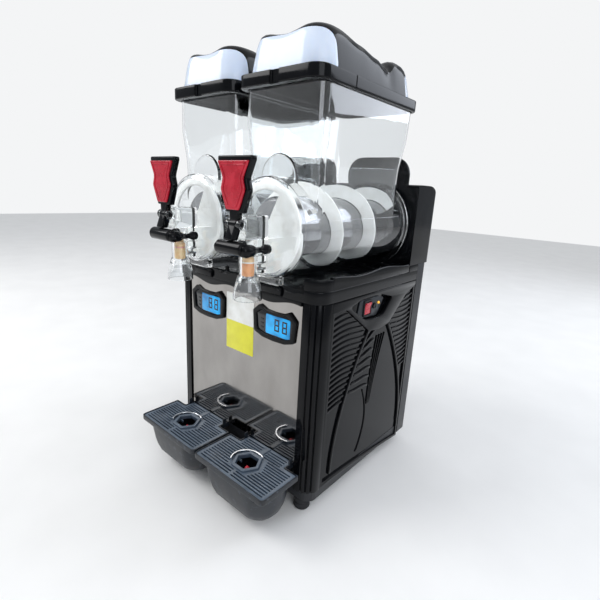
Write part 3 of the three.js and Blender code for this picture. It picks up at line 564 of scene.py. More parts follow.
def mix_finishes():
    """Make every finish once."""
    FINISHES.update({
        "gloss_black": gloss_black(),
        "polished_steel": polished_steel(),
        "satin_steel": satin_steel(),
        "chrome": bright_chrome(),
        "painted_steel": painted_steel(),
        "clear_plastic": clear_plastic(),
        "pale_lens": pale_lens(),
        "red_plastic": red_plastic(),
        "slate_plastic": slate_plastic(),
        "grate_plastic": grate_plastic(),
        "white_plastic": white_plastic(),
        "cream_plastic": cream_plastic(),
        "amber_plastic": cream_plastic("amber stained acetal", "#e7a468", "#cf8248"),
        "rose_plastic": cream_plastic("rose silicone ring", "#f2b7b4", "#dd8e8e"),
        "black_rubber": rubber(),
        "raw_aluminium": raw_aluminium(),
        "circuit_board": circuit_board(),
        "display_glass": display_glass(),
        "lit_panel": lit_panel("backlit cyan display", colour("#0667a0"), chosen("display"), 0.38),
        "amber_lamp": lit_panel("amber lamp", colour("#d88a1a"), colour("#ffc14d"), 1.2),
        "white_label": label_film("white vinyl label", chosen("label_top"), colour("#dedcd4")),
        "yellow_label": label_film("yellow vinyl label", chosen("label_bottom"), colour("#d6cf3a")),
        "floor": pale_floor(),
    })


# ---- modelling -----------------------------------------------------------------------------


def drop_selection():
    """Back to object mode with nothing selected."""
    if bpy.context.object and bpy.context.object.mode == "EDIT":
        bpy.ops.object.mode_set(mode="OBJECT")
    bpy.ops.object.select_all(action="DESELECT")


def take(obj):
    """Select obj alone."""
    drop_selection()
    obj.select_set(True)
    bpy.context.view_layer.objects.active = obj
    return obj


def edit(obj):
    """Open obj in edit mode with everything selected."""
    take(obj)
    bpy.ops.object.mode_set(mode="EDIT")
    bpy.ops.mesh.select_mode(type="VERT")
    bpy.ops.mesh.select_all(action="SELECT")


def weld(obj):
    """Merge doubled corners, and turn every face outwards."""
    edit(obj)
    bpy.ops.mesh.remove_doubles(threshold=0.000004)
    bpy.ops.mesh.dissolve_degenerate(threshold=0.000002)
    bpy.ops.mesh.normals_make_consistent(inside=False)
    bpy.ops.object.mode_set(mode="OBJECT")
    return obj


def fillet(points, steps=5, closed=True):
    """Round the corners of a line. A corner is (x, y) when sharp and (x, y, radius) when round."""
    out = []
    count = len(points)
    for i, corner in enumerate(points):
        here = Vector(corner[:2])
        radius = corner[2] if len(corner) > 2 else 0
        inner = closed or 0 < i < count - 1
        if radius <= 0 or not inner:
            out.append(here)
            continue
        before = Vector(points[i - 1][:2]) - here
        after = Vector(points[(i + 1) % count][:2]) - here
        half = before.angle(after) / 2
        reach = min(radius / math.tan(half), before.length * 0.49, after.length * 0.49)
        start = here + before.normalized() * reach
        end = here + after.normalized() * reach
        for k in range(steps + 1):
            t = k / steps
            out.append(start.lerp(here, t).lerp(here.lerp(end, t), t))
    return out


def rounded_box(x0, x1, y0, y1, r, steps=8):
    """Outline of a rectangle with corners of radius r, as true arcs."""
    outline = []
    for cx, cy, start in ((x1 - r, y0 + r, -90), (x1 - r, y1 - r, 0), (x0 + r, y1 - r, 90),
                          (x0 + r, y0 + r, 180)):
        for k in range(steps + 1):
            angle = math.radians(start + 90 * k / steps)
            outline.append(Vector((cx + r * math.cos(angle), cy + r * math.sin(angle))))
    return outline


TURNS = {
    "X": Matrix(((0, 0, 1, 0), (1, 0, 0, 0), (0, 1, 0, 0), (0, 0, 0, 1))),
    "Y": Matrix(((1, 0, 0, 0), (0, 0, -1, 0), (0, 1, 0, 0), (0, 0, 0, 1))),
    "Z": Matrix.Identity(4),
}


def plate(name, outlines, low, high, axis, edge=0.0, segments=2):
    """A piece cut to an outline, the later outlines being its holes, from low to high along an axis.
    The outline is drawn in YZ, XZ or XY, and every edge is rounded by edge."""
    curve = bpy.data.curves.new(name, "CURVE")
    curve.dimensions = "2D"
    curve.fill_mode = "BOTH"
    curve.extrude = ((high - low) / 2 - edge) * MM
    curve.bevel_depth = edge * MM
    curve.bevel_resolution = segments - 1
    curve.offset = -edge * MM
    for outline in outlines:
        spline = curve.splines.new("POLY")
        spline.points.add(len(outline) - 1)
        spline.use_cyclic_u = True
        for spot, corner in zip(spline.points, outline):
            spot.co = (corner[0] * MM, corner[1] * MM, 0, 1)
    obj = bpy.data.objects.new(name, curve)
    bpy.context.scene.collection.objects.link(obj)
    middle = (low + high) / 2
    where = {"X": (middle, 0, 0), "Y": (0, middle, 0), "Z": (0, 0, middle)}[axis]
    obj.matrix_world = Matrix.Translation(place(*where)) @ TURNS[axis]
    take(obj)
    bpy.ops.object.convert(target="MESH")
    obj = bpy.context.object
    bpy.ops.object.transform_apply(location=True, rotation=True, scale=True)
    return weld(obj)


def draw(name, points):
    """A line of edges through points, drawn out corner by corner, left open in edit mode."""
    drop_selection()
    bpy.ops.mesh.primitive_plane_add(size=0.01)
    obj = bpy.context.object
    obj.name = name
    edit(obj)
    bpy.ops.mesh.merge(type="CENTER")
    bpy.ops.transform.translate(value=points[0])
    for start, end in zip(points, points[1:]):
        bpy.ops.mesh.extrude_vertices_move(TRANSFORM_OT_translate={"value": end - start})
    bpy.ops.mesh.select_all(action="SELECT")
    return obj


def turned(name, line, axis, x=0, y=0, z=0, segments=64, steps=4):
    """A turned piece: line is half its section as (radius, distance along the axis, rounding)."""
    across = {"X": Vector((0, 0, 1)), "Y": Vector((1, 0, 0)), "Z": Vector((1, 0, 0))}[axis]
    along = {"X": Vector((1, 0, 0)), "Y": Vector((0, 1, 0)), "Z": Vector((0, 0, 1))}[axis]
    centre = place(x, y, z)
    ring = len(line) > 2 and line[0][:2] == line[-1][:2]
    section = fillet(line[:-1] if ring else line, steps, closed=ring)
    if ring:
        section.append(section[0])
    points = [centre + (across * r + along * h) * MM for r, h in section]
    obj = draw(name, points)
    bpy.ops.mesh.spin(steps=segments, angle=2 * math.pi, center=centre, axis=along)
    bpy.ops.object.mode_set(mode="OBJECT")
    return weld(obj)


def tower(name, base, levels, radius, segments=8, cuts=0):
    """A solid through level rounded rectangles: base is (z, x0, x1, y0, y1), then the next levels.
    With cuts, its straight sides are divided so that they can be curved afterwards."""
    drop_selection()
    z, x0, x1, y0, y1 = base
    centre = place((x0 + x1) / 2, (y0 + y1) / 2, z)
    bpy.ops.mesh.primitive_plane_add(size=1, location=centre)
    obj = bpy.context.object
    obj.name = name
    bpy.ops.object.transform_apply(location=True, rotation=True, scale=True)
    edit(obj)
    bpy.ops.transform.resize(value=((x1 - x0) * MM, (y1 - y0) * MM, 1), center_override=centre)
    bpy.ops.mesh.bevel(offset_type="OFFSET", offset=radius * MM, segments=segments, affect="VERTICES")
    if cuts:
        bpy.ops.mesh.select_mode(type="EDGE")
        bpy.ops.mesh.select_all(action="DESELECT")
        mesh = bmesh.from_edit_mesh(obj.data)
        for side in mesh.edges:
            side.select = side.calc_length() > radius * MM
        bmesh.update_edit_mesh(obj.data)
        bpy.ops.mesh.subdivide(number_cuts=cuts)
        bpy.ops.mesh.select_all(action="SELECT")
    bpy.ops.mesh.select_mode(type="FACE")
    for nz, nx0, nx1, ny0, ny1 in levels:
        shift = Vector(((nx0 + nx1 - x0 - x1) / 2, (ny0 + ny1 - y0 - y1) / 2, nz - z)) * MM
        bpy.ops.mesh.extrude_region_move(TRANSFORM_OT_translate={"value": shift})
        centre = centre + shift
        size = ((nx1 - nx0) / (x1 - x0), (ny1 - ny0) / (y1 - y0), 1)
        bpy.ops.transform.resize(value=size, center_override=centre)
        z, x0, x1, y0, y1 = nz, nx0, nx1, ny0, ny1
    bpy.ops.mesh.select_all(action="SELECT")
    bpy.ops.mesh.fill_holes(sides=0)
    bpy.ops.object.mode_set(mode="OBJECT")
    return weld(obj)


def combine(obj, operation, *tools):
    """Join, cut or meet a piece with others, which are used up."""
    for tool in tools:
        take(obj)
        bpy.ops.object.modifier_add(type="BOOLEAN")
        change = obj.modifiers[-1]
        change.operation = operation
        change.solver = "MANIFOLD"
        change.object = tool
        before = len(obj.data.polygons)
        bpy.ops.object.modifier_apply(modifier=change.name)
        if not obj.data.polygons or (operation == "UNION" and len(obj.data.polygons) < before / 4):
            raise RuntimeError(f"{obj.name}: {operation} with {tool.name} left nothing")
        bpy.data.objects.remove(tool)
    return obj


def settle(obj, body, finish, stands_for=(), smooth=32):
    """Give a finished piece its shading, finish and body, and hide the nodes it stands for."""
    take(obj)
    bpy.ops.object.shade_smooth_by_angle(angle=math.radians(smooth))
    obj.data.materials.clear()
    obj.data.materials.append(FINISHES[finish])
    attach(obj, body)
    if stands_for:
        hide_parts(*stands_for)
    return obj


def for_each_tank(obj, body, finish, stands_for=(), smooth=32):
    """Copy a piece drawn on the middle to both tanks, each copy with its own mesh."""
    name = obj.name
    finishes = finish if isinstance(finish, dict) else dict.fromkeys(HANDS, finish)
    for hand, side in HANDS.items():
        copy = obj.copy()
        copy.data = obj.data.copy()
        copy.name = f"{name}_{hand}"
        copy.data.name = copy.name
        bpy.context.scene.collection.objects.link(copy)
        copy.data.transform(Matrix.Translation((side * TANK_X * MM, 0, 0)))
        rider = body if body == "machine" else f"{body}_{hand}"
        settle(copy, rider, finishes[hand], [f"{node}_{hand}" for node in stands_for], smooth)
    bpy.data.objects.remove(obj)


# ---- outlines ------------------------------------------------------------------------------


def display_outline(inset):
    """A display seen from the front: two raised horns and a bowed lower edge."""
    sx, sz = (54 - inset) / 54, (32 - inset) / 32
    right = [(0, 331), (28, 332.5), (50, 339.5, 5), (54, 380, 4), (37, 394.5, 5), (20, 387), (0, 386)]
    corners = right + [(-c[0], *c[1:]) for c in reversed(right[1:-1])]
    return fillet([(c[0] * sx, 363 + (c[1] - 363) * sz, *c[2:]) for c in corners], 4)


def paddle_outline(inset, cap=0.0):
    """The lever's paddle seen from the front, wide at the top and waisted, stopping cap below its top."""
    top = 644 - inset - cap
    right = [(18, 562 + inset, 3), (31, 596, 9), (26, 612, 12), (37.5, 638 - cap, 5), (37.5, top, 3)]
    corners = [(c[0] - inset, *c[1:]) for c in right]
    return fillet(corners + [(-c[0], *c[1:]) for c in reversed(corners)], 5)


def tray_outline(inset, back):
    """A drip tray from above, with the neck that tucks under the steel."""
    x, neck, front, rear = 94 - inset, 62.5 - inset, -114 + inset, -22 - inset
    right = [(x, front, 10 - inset), (x, rear, 3), (neck, rear, 4), (neck, back, 2)]
    return fillet([(-c[0], *c[1:]) for c in right] + [c for c in reversed(right)], 6)


def front_arch(z):
    """How far back the side panel's front arch stands at height z."""
    return 62 + 97 * ((z - 67) / 275) ** 1.9


def rear_arch(z):
    """How far back the side panel's rear arch stands at height z."""
    return 337 - 102 * ((z - 67) / 275) ** 1.9


def ribbon(path, half):
    """Outline of a band of half-width half along a path of 2D points."""
    left, right = [], []
    for i, here in enumerate(path):
        ahead = path[min(i + 1, len(path) - 1)]
        behind = path[max(i - 1, 0)]
        along = (Vector(ahead) - Vector(behind)).normalized()
        side = Vector((-along.y, along.x)) * half
        left.append(Vector(here) + side)
        right.append(Vector(here) - side)
    return left + right[::-1]


# ---- cabinet -------------------------------------------------------------------------------


def build_feet():
    """Four moulded feet with a groove round the middle."""
    section = [(0, 0), (14, 0, 1.5), (16, 3, 2), (16, 12, 1.5), (13.5, 14, 1), (16, 16, 1.5), (16, 24, 3),
               (12, 29.7), (0, 29.7)]
    for node in ("foot_front_left", "foot_front_right", "foot_rear_left", "foot_rear_right"):
        low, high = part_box(node)
        middle = (low + high) / 2
        foot = turned(f"rubber_{node}", section, "Z", middle.x / MM, (middle.y - PANEL_Y) / MM, 0, 48)
        settle(foot, "machine", "black_rubber", [node])


def build_posts():
    """The fluted front corner posts, with three upright grooves in each."""
    cx, cy, wall = HALF_WIDTH - POST_RADIUS, POST_RADIUS - 3, 6
    flute = bpy.context.scene.slush_sizes.flute_depth / MM
    for hand, side in HANDS.items():
        outline = [(POST_INNER_X + 0.3, -3)]
        for angle in range(-90, 1):
            near = min(abs(angle - groove) for groove in (-75, -55, -35))
            depth = flute * math.cos(math.pi / 2 * min(near / 5, 1)) ** 2
            turn = math.radians(angle)
            reach = POST_RADIUS - depth
            outline.append((cx + reach * math.cos(turn), cy + reach * math.sin(turn)))
        outline += [(HALF_WIDTH, 30), (HALF_WIDTH - wall, 30)]
        for angle in range(0, -91, -6):
            turn = math.radians(angle)
            outline.append((cx + (POST_RADIUS - wall) * math.cos(turn),
                            cy + (POST_RADIUS - wall) * math.sin(turn)))
        outline.append((POST_INNER_X + 0.3, wall - 3))
        post = plate(f"fluted_post_{hand}", [[(side * x, y) for x, y in outline]], 50, SIDE_TOP, "Z", 0.4)
        settle(post, "machine", "gloss_black", [f"corner_post_{hand}"], 40)


def side_edge(z_shift=0.0, inset=0.0):
    """Outline of a side panel in YZ, with its swept lower edge."""
    front, back, top = SIDE_FRONT + inset, SIDE_BACK - inset, SIDE_TOP - inset
    lower = []
    for k in range(13):
        t = k / 12
        y = front + (back - front) * t
        z = (1 - t) ** 2 * 52 + 2 * t * (1 - t) * 44 + t * t * 22 + inset + z_shift
        lower.append((y, z))
    return lower + [(back, top), (front, top)]


def build_side_panels():
    """The moulded sides: recessed louvred fields, hourglass ridges and a smooth yoke on top."""
    eye = fillet([(86, 401, 4), (140, 367, 60), (206, 362, 40), (240, 398, 4), (190, 411, 60),
                  (120, 410, 40)], 8)
    yoke = fillet([(SIDE_FRONT, SIDE_TOP), (SIDE_FRONT, 399, 3), (76, 399, 20), (158, 341, 12),
                   (191, 336, 20),
                   (236, 341, 12), (300, 392, 40), (SIDE_BACK, 408, 3), (SIDE_BACK, SIDE_TOP)], 10)
    sizes = bpy.context.scene.slush_sizes
    heights = [67 + 275 * k / 24 for k in range(25)]
    arches = {
        "front": [(front_arch(z), z) for z in heights],
        "rear": [(rear_arch(z), z) for z in heights],
        "inner": [(156 + 24 * math.sin(math.pi * (z - 68) / 150) ** 0.8, z) for z in range(68, 216, 6)],
    }
    for hand, side in HANDS.items():
        def slab(name, outlines, depth_in, depth_out, edge=0.0):
            """A layer between two depths below the panel's outer face."""
            low, high = sorted((side * (HALF_WIDTH - depth_in), side * (HALF_WIDTH - depth_out)))
            return plate(name, outlines, low, high, "X", edge)

        backing = slab(f"side_backing_{hand}", [side_edge()], 6.4, 4.4)
        frame_band = slab(f"side_frame_{hand}", [side_edge(), side_edge(0, 8)], 5.0, 0.6, 0.8)
        combine(backing, "UNION", frame_band)
        if side > 0:
            window = slab("eye_window", [eye], 12, -1)
            combine(backing, "DIFFERENCE", window)
        settle(backing, "machine", "gloss_black", [f"side_panel_{hand}"], 35)

        holes = [yoke, eye] if side > 0 else [yoke]
        top = slab(f"side_yoke_{hand}", holes, 4.6, 0.0, 1.4)
        settle(top, "machine", "gloss_black", smooth=45)
        for which, path in arches.items():
            wide = 1.6 if which == "inner" else 3.2
            ridge = slab(f"side_{which}_arch_{hand}", [ribbon(path, wide)], 5.0, 0.2 if wide > 2 else 2.2,
                         1.3)
            settle(ridge, "machine", "gloss_black", smooth=50)

        slats = []
        for row in range(17):
            z = 212 + row * sizes.louvre_pitch / MM
            wavy = [(y, z + 4 * math.sin((y - 40) / 24) + (y - 90) * 0.06) for y in range(36, 341, 4)]
            slats.append(ribbon(wavy, sizes.louvre_half / MM))
        louvres = slab(f"side_louvres_{hand}", slats, 4.8, 1.8, 0.9)
        inner = [(front_arch(z) - 8, z) for z in range(206, 341, 8)]
        fields = [
            [(39, 206)] + inner + [(140, 352), (82, 392), (39, 392)],
            [(rear_arch(z) + 8, z) for z in range(342, 205, -8)] + [(335, 206), (335, 398), (300, 384),
                                                                    (250, 350)],
        ]
        reach = slab("louvre_fields", fields, 9, -3)
        combine(louvres, "INTERSECT", reach)
        settle(louvres, "machine", "gloss_black", smooth=40)

        steps = []
        for row in range(7):
            z = 322 - row * 16
            start, end = front_arch(z) + 9, 188 - row * 2
            bowed = [(start + (end - start) * k / 10,
                      z + 7 * math.sin(math.pi * k / 20) ** 2 * 2 - row * k * 0.35)
                     for k in range(11)]
            steps.append(ribbon(bowed, 2.4))
        stair = slab(f"side_stair_{hand}", steps, 4.8, 1.6, 1.0)
        settle(stair, "machine", "gloss_black", smooth=40)
        spine = []
        for line in range(4):
            sweep = [(182 + line * (3 + 7 * t) + 16 * t * t, 172 + 150 * t)
                     for t in [k / 14 for k in range(15)]]
            spine.append(ribbon(sweep, 1.1))
        ribs = slab(f"side_spine_{hand}", spine, 4.8, 2.0, 0.8)
        settle(ribs, "machine", "gloss_black", smooth=40)


def build_switches():
    """The slate switch plate in its eye, with the red rocker, fuse cap and amber lamp."""
    x = HALF_WIDTH
    tray = plate("switch_recess", [rounded_box(76, 250, 352, 416, 10)], x - 12, x - 9.2, "X", 0.4)
    settle(tray, "machine", "gloss_black")
    plate_outline = fillet([(118, 372, 5), (190, 366, 8), (216, 399, 5), (192, 406, 8), (126, 406, 5)], 5)
    base = plate("switch_backplate", [plate_outline], x - 9.4, x - 6.6, "X", 0.5)
    settle(base, "machine", "slate_plastic", ["switch_plate"])
    frame_plate = plate("rocker_frame",
                        [rounded_box(138, 164, 372, 404, 2), rounded_box(140.2, 161.8, 375, 401, 1)],
                        x - 6.8, x - 3.2, "X", 0.6)
    settle(frame_plate, "machine", "black_rubber")
    face = fillet([(4.2, -12.4, 1.2), (2.6, 0, 6), (4.2, 12.4, 1.2), (-3.4, 8), (-3.4, -8)], 5)
    rocker = plate("rocker_button", [face], -10.4, 10.4, "Y", 0.6)
    centre = place(0, 0, 0)
    rocker.data.transform(Matrix.Translation(-centre))
    rocker.data.transform(Matrix.Rotation(math.radians(8), 4, "Y"))
    rocker.data.transform(Matrix.Translation(place(x - 6.5, 151, 388)))
    settle(rocker, "rocker", "red_plastic", ["rocker_switch"])
    cap = [(0, 189.5), (6, 189.5), (6, 195.6, 1), (4.4, 196.2, 0.5), (4.4, 195.4), (0, 195.4)]
    fuse = turned("fuse_cap", cap, "X", 0, 178, 388, 32)
    settle(fuse, "machine", "gloss_black")
    lamp = turned("pilot_lamp", [(0, 190), (2.6, 190), (2.6, 195.2, 2.2), (0, 196.4)], "X", 0, 194, 392, 24)
    settle(lamp, "machine", "amber_lamp")


def build_deck():
    """The bowl deck: slab, wavy lip over the steel, side rails, corner upstands and rear step."""
    half = HALF_WIDTH
    plan = fillet([(-half, -8, 34), (half, -8, 34), (half, SIDE_BACK), (-half, SIDE_BACK)], 14)
    slab = plate("deck_slab", [plan], DECK_BOTTOM, DECK_TOP, "Z", 2.2, 3)
    pockets = [plate("clip_pocket", [rounded_box(s * TANK_X - 33, s * TANK_X + 24, 420.5, 438.5, 3)], -12,
                     -3, "Y")
               for s in HANDS.values()]
    combine(slab, "DIFFERENCE", *pockets)
    settle(slab, "machine", "gloss_black", ["top_deck"], 40)
    edge = POST_INNER_X - 0.3
    wave = [(x, 409 - 4.5 * math.cos((abs(x) - TANK_X + 12) / 60 * math.pi)) for x in
            [edge - 2 * edge * k / 56 for k in range(57)]]
    lip = plate("deck_lip", [[(-edge, 421), (edge, 421)] + wave], -7.6, -0.6, "Y", 1.2)
    settle(lip, "machine", "gloss_black", smooth=45)
    crest = [(y, RAIL_TOP - 3.4 + 3 * math.cos((y - 26) / 28)) for y in range(302, 23, -6)]
    rail_outline = [(24, DECK_TOP - 2), (302.6, DECK_TOP - 2)] + crest
    swell = [(y, 431 + 3.2 * math.sin((y - 20) / 21)) for y in range(30, 341, 6)]
    for hand, side in HANDS.items():
        low, high = sorted((side * half, side * (half - 8)))
        rail = plate(f"deck_rail_{hand}", [rail_outline], low, high, "X", 2.4, 3)
        settle(rail, "machine", "gloss_black", smooth=50)
        arc = [(side * (half - 34 + 34 * math.cos(a)), 26 + 34 * math.sin(a)) for a in
               [-math.pi / 2 * k / 14 for k in range(15)]]
        arc += [(side * (half - 34 + 26 * math.cos(a)), 26 + 26 * math.sin(a)) for a in
                [-math.pi / 2 * k / 14 for k in range(14, -1, -1)]]
        corner = plate(f"deck_corner_{hand}", [arc], DECK_TOP - 2, RAIL_TOP - 4, "Z", 2.4, 3)
        settle(corner, "machine", "gloss_black", smooth=50)
    step = plate("deck_step", [fillet([(-half, COVER_FRONT, 3), (half, COVER_FRONT, 3), (half, SIDE_BACK),
                                       (-half, SIDE_BACK)], 4)], DECK_TOP - 2, COVER_BOTTOM - 0.3, "Z", 1.0)
    settle(step, "machine", "gloss_black")


def build_rear_cover():
    """The cover over the gear motors, with a round-topped hump behind each bowl."""
    half = HALF_WIDTH
    side = fillet([(COVER_FRONT, COVER_BOTTOM), (COVER_BACK, COVER_BOTTOM, 2), (COVER_BACK, COVER_TOP, 78),
                   (COVER_FRONT, COVER_TOP, 10)], 16)
    cover = plate("rear_hood", [side], -half, half, "X")
    plan = fillet([(-half, COVER_FRONT - 20), (half, COVER_FRONT - 20), (half, COVER_BACK, 18),
                   (-half, COVER_BACK, 18)], 10)
    combine(cover, "INTERSECT", plate("hood_plan", [plan], 400, 700, "Z"))
    for tank in HANDS.values():
        hump = plate("hump", [rounded_box(tank * TANK_X - 76, tank * TANK_X + 76, 540, HUMP_TOP, 36, 12)],
                     COVER_FRONT, COVER_FRONT + 9, "Y", 2.6, 3)
        combine(cover, "UNION", hump)
    settle(cover, "machine", "gloss_black", ["rear_cover"], 35)
    slots = [rounded_box(x - 60, x + 60, z, z + 4, 2, 4) for x in (-TANK_X, TANK_X)
             for z in range(480, 560, 12)]
    vents = plate("hood_vents", slots, COVER_BACK - 0.6, COVER_BACK - 0.05, "Y", 0.2)
    settle(vents, "machine", "black_rubber")


def build_displays():
    """Each display: black frame, smoked window, and the lit panel with its indicator bars."""
    bezel = plate("display_frame", [display_outline(0), display_outline(9)], -5, -0.3, "Y", 1.6, 3)
    for_each_tank(bezel, "machine", "gloss_black", ["display_bezel"], 45)
    window = plate("display_pane", [display_outline(9.4)], -3.2, 7, "Y", 0.4)
    for_each_tank(window, "machine", "display_glass", ["display_window"])
    lit = plate("display_light", [rounded_box(-20, 40, 343, 380, 3)], -3.5, -2.9, "Y", 0.1)
    for_each_tank(lit, "machine", "lit_panel")
    strokes = []
    for x in (2, 21):
        sticks = [(0, 12, z, z + 3) for z in (351.6, 361.5, 371.4)]
        sticks += [(side, side + 3, z, z + 6.4) for side in (0, 9) for z in (354.8, 364.7)]
        strokes += [rounded_box(x + left, x + right, low, high, 0.6, 3) for left, right, low,
                    high in sticks]
    strokes += [rounded_box(-34, -26, z, z + 2.6, 0.8, 3) for z in (350, 358, 366)]
    digits = plate("display_marks", strokes, -3.65, -3.2, "Y", 0.05)
    for_each_tank(digits, "machine", "display_glass")


def build_label():
    """The blank two-colour label stuck on the steel between the displays."""
    for name, finish, low, high in (("white", "white_label", 341.5, 398),
                                    ("yellow", "yellow_label", 281, 341.4)):
        piece = plate(f"label_{name}", [rounded_box(-39, 40, low, high, 1.2, 3)], -0.45, -0.05, "Y", 0.05)
        settle(piece, "machine", finish)


def build_back():
    """The wrapped steel back: rolled corners, pressed louvres and its fixing screws."""
    half, back = HALF_WIDTH, 385
    outer = fillet([(half, SIDE_BACK + 0.6), (half, back, 12), (-half, back, 12), (-half, SIDE_BACK + 0.6),
                    (-half + 3, SIDE_BACK + 0.6), (-half + 3, back - 3, 9), (half - 3, back - 3, 9),
                    (half - 3, SIDE_BACK + 0.6)], 8)
    wrap = plate("rolled_back", [outer], 30.3, COVER_BOTTOM - 0.3, "Z", 0.5)
    openings = [rounded_box(x - 22, x + 22, 180 + row * 18, 187 + row * 18, 3, 5) for x in (-30, 30)
                for row in range(8)]
    openings.append(rounded_box(-150, -110, 70, 98, 1, 3))
    combine(wrap, "DIFFERENCE", plate("vent_cutters", openings, back - 10, back + 6, "Y"))
    settle(wrap, "machine", "painted_steel", ["rear_panel"], 40)
    screw = turned("back_screw",
                   [(0, 2.2), (2.2, 2.2, 0.3), (2.2, 1.0), (3.6, 2.0, 0.8), (5.2, 0.1), (5.2, 0), (0, 0)],
                   "Y", 0, 0, 0, 24)
    for i, (x, z) in enumerate([(s * 180, z) for s in (-1, 1) for z in (60, 240, 430)]):
        head = screw.copy()
        head.data = screw.data.copy()
        head.name = f"back_screw_{i + 1}"
        bpy.context.scene.collection.objects.link(head)
        head.data.transform(Matrix.Translation((x * MM, back * MM, z * MM)))
        settle(head, "machine", "satin_steel")
    bpy.data.objects.remove(screw)


# ---- one tank --------------------------------------------------------------------------------


def build_bowls():
    """Clear bowl: lying barrel, hopper above it and the tap body moulded on its front, one wall."""
    barrel = turned("bowl_shell", [(0, -38), (76, -38, 3), (82, -34, 4), (84, -27, 5), (86, 287, 1.5),
                                   (93, 289, 1), (93, 296, 1), (0, 296)], "Y", 0, 0, AXIS_Z, 96, 6)
    hopper = tower("hopper", (545, -82, 82, -2, 264), [
        (625, -80, 80, -2, 264), (650, -80.5, 80.5, -3.5, 266), (680, -82.5, 82.5, -7.5, 272),
        (700, -84, 84, -10, 277), (HOPPER_TOP, -84, 84, -10, 284)], 20, 10)
    crown = [(40 * math.cos(a), 616 + 40 * math.sin(a)) for a in [math.pi * k / 32 for k in range(33)]]
    arch = plate("arch_moulding", [crown + [(-40, 600), (40, 600)]], -7, 8, "Y", 3.4, 6)
    foot = plate("bowl_foot", [rounded_box(-30, 30, DECK_TOP + 0.3, DECK_TOP + 20, 3)], -26, -14, "Y", 1.5,
                 3)
    combine(barrel, "UNION", hopper, arch, foot)
    hollow = turned("hollow", [(0, -35), (74, -35, 3), (79.6, -32, 3), (81, -26, 4), (83, 300), (0, 300)],
                    "Y", 0, 0, AXIS_Z, 96, 6)
    upper = tower("upper_hollow", (548, -79, 79, 1, 261), [
        (625, -77, 77, 1, 261), (650, -77.5, 77.5, -0.5, 263), (680, -79.5, 79.5, -4.5, 269),
        (700, -81, 81, -7, 274), (HOPPER_TOP + 4, -81, 81, -7, 281)], 17, 10)
    combine(barrel, "DIFFERENCE", hollow, upper)
    bell = turned("bell",
                  [(0, 422), (24, 422, 1), (23, 440, 12), (18, 458, 8), (15, 464, 4), (15, 495, 1),
                   (0, 495)],
                  "Z", 0, TAP_Y, 0, 64, 5)
    neck = plate("neck", [rounded_box(-10, 10, 464, 494, 2)], TAP_Y, -36.5, "Y", 0)
    block = plate("block", [rounded_box(-13, 13, 520, 558, 3)], -86, -36.5, "Y", 1.2, 3)
    rib = plate("rib", [rounded_box(-5, 5, 490, 524, 1)], -52, -36.5, "Y", 0)
    body = combine(bell, "UNION", neck, block, rib)
    for side in (-1, 1):
        low, high = sorted((side * 9.2, side * 15))
        ear = plate("ear",
                    [fillet([(-82, 536, 1), (-82, 554, 1), (-96, 553, 8), (-104, 545, 8), (-96, 537, 8)],
                            8)],
                    low, high, "X", 0.8)
        boss = turned("boss", [(0, low - 0.2), (8, low - 0.2, 0.8), (8, high, 0.8), (0, high)],
                      "X", 0, PIVOT_Y, PIVOT_Z, 40)
        combine(body, "UNION", ear, boss)
    bore = turned("bore",
                  [(0, 420), (21.5, 420), (20.5, 438, 10), (15.5, 452, 6), (10.6, 458, 3), (10.6, 500),
                   (0, 500)],
                  "Z", 0, TAP_Y, 0, 64, 5)
    feed = turned("feed", [(0, TAP_Y), (7, TAP_Y), (7, -30), (0, -30)], "Y", 0, 0, 476, 32)
    gap = plate("lever_gap", [rounded_box(-9, 9, 500, 560, 0.5, 2)], -120, -84, "Y", 0)
    combine(barrel, "UNION", body)
    combine(barrel, "DIFFERENCE", bore, feed, gap)
    for_each_tank(barrel, "bowl", "clear_plastic", ["bowl"], 38)


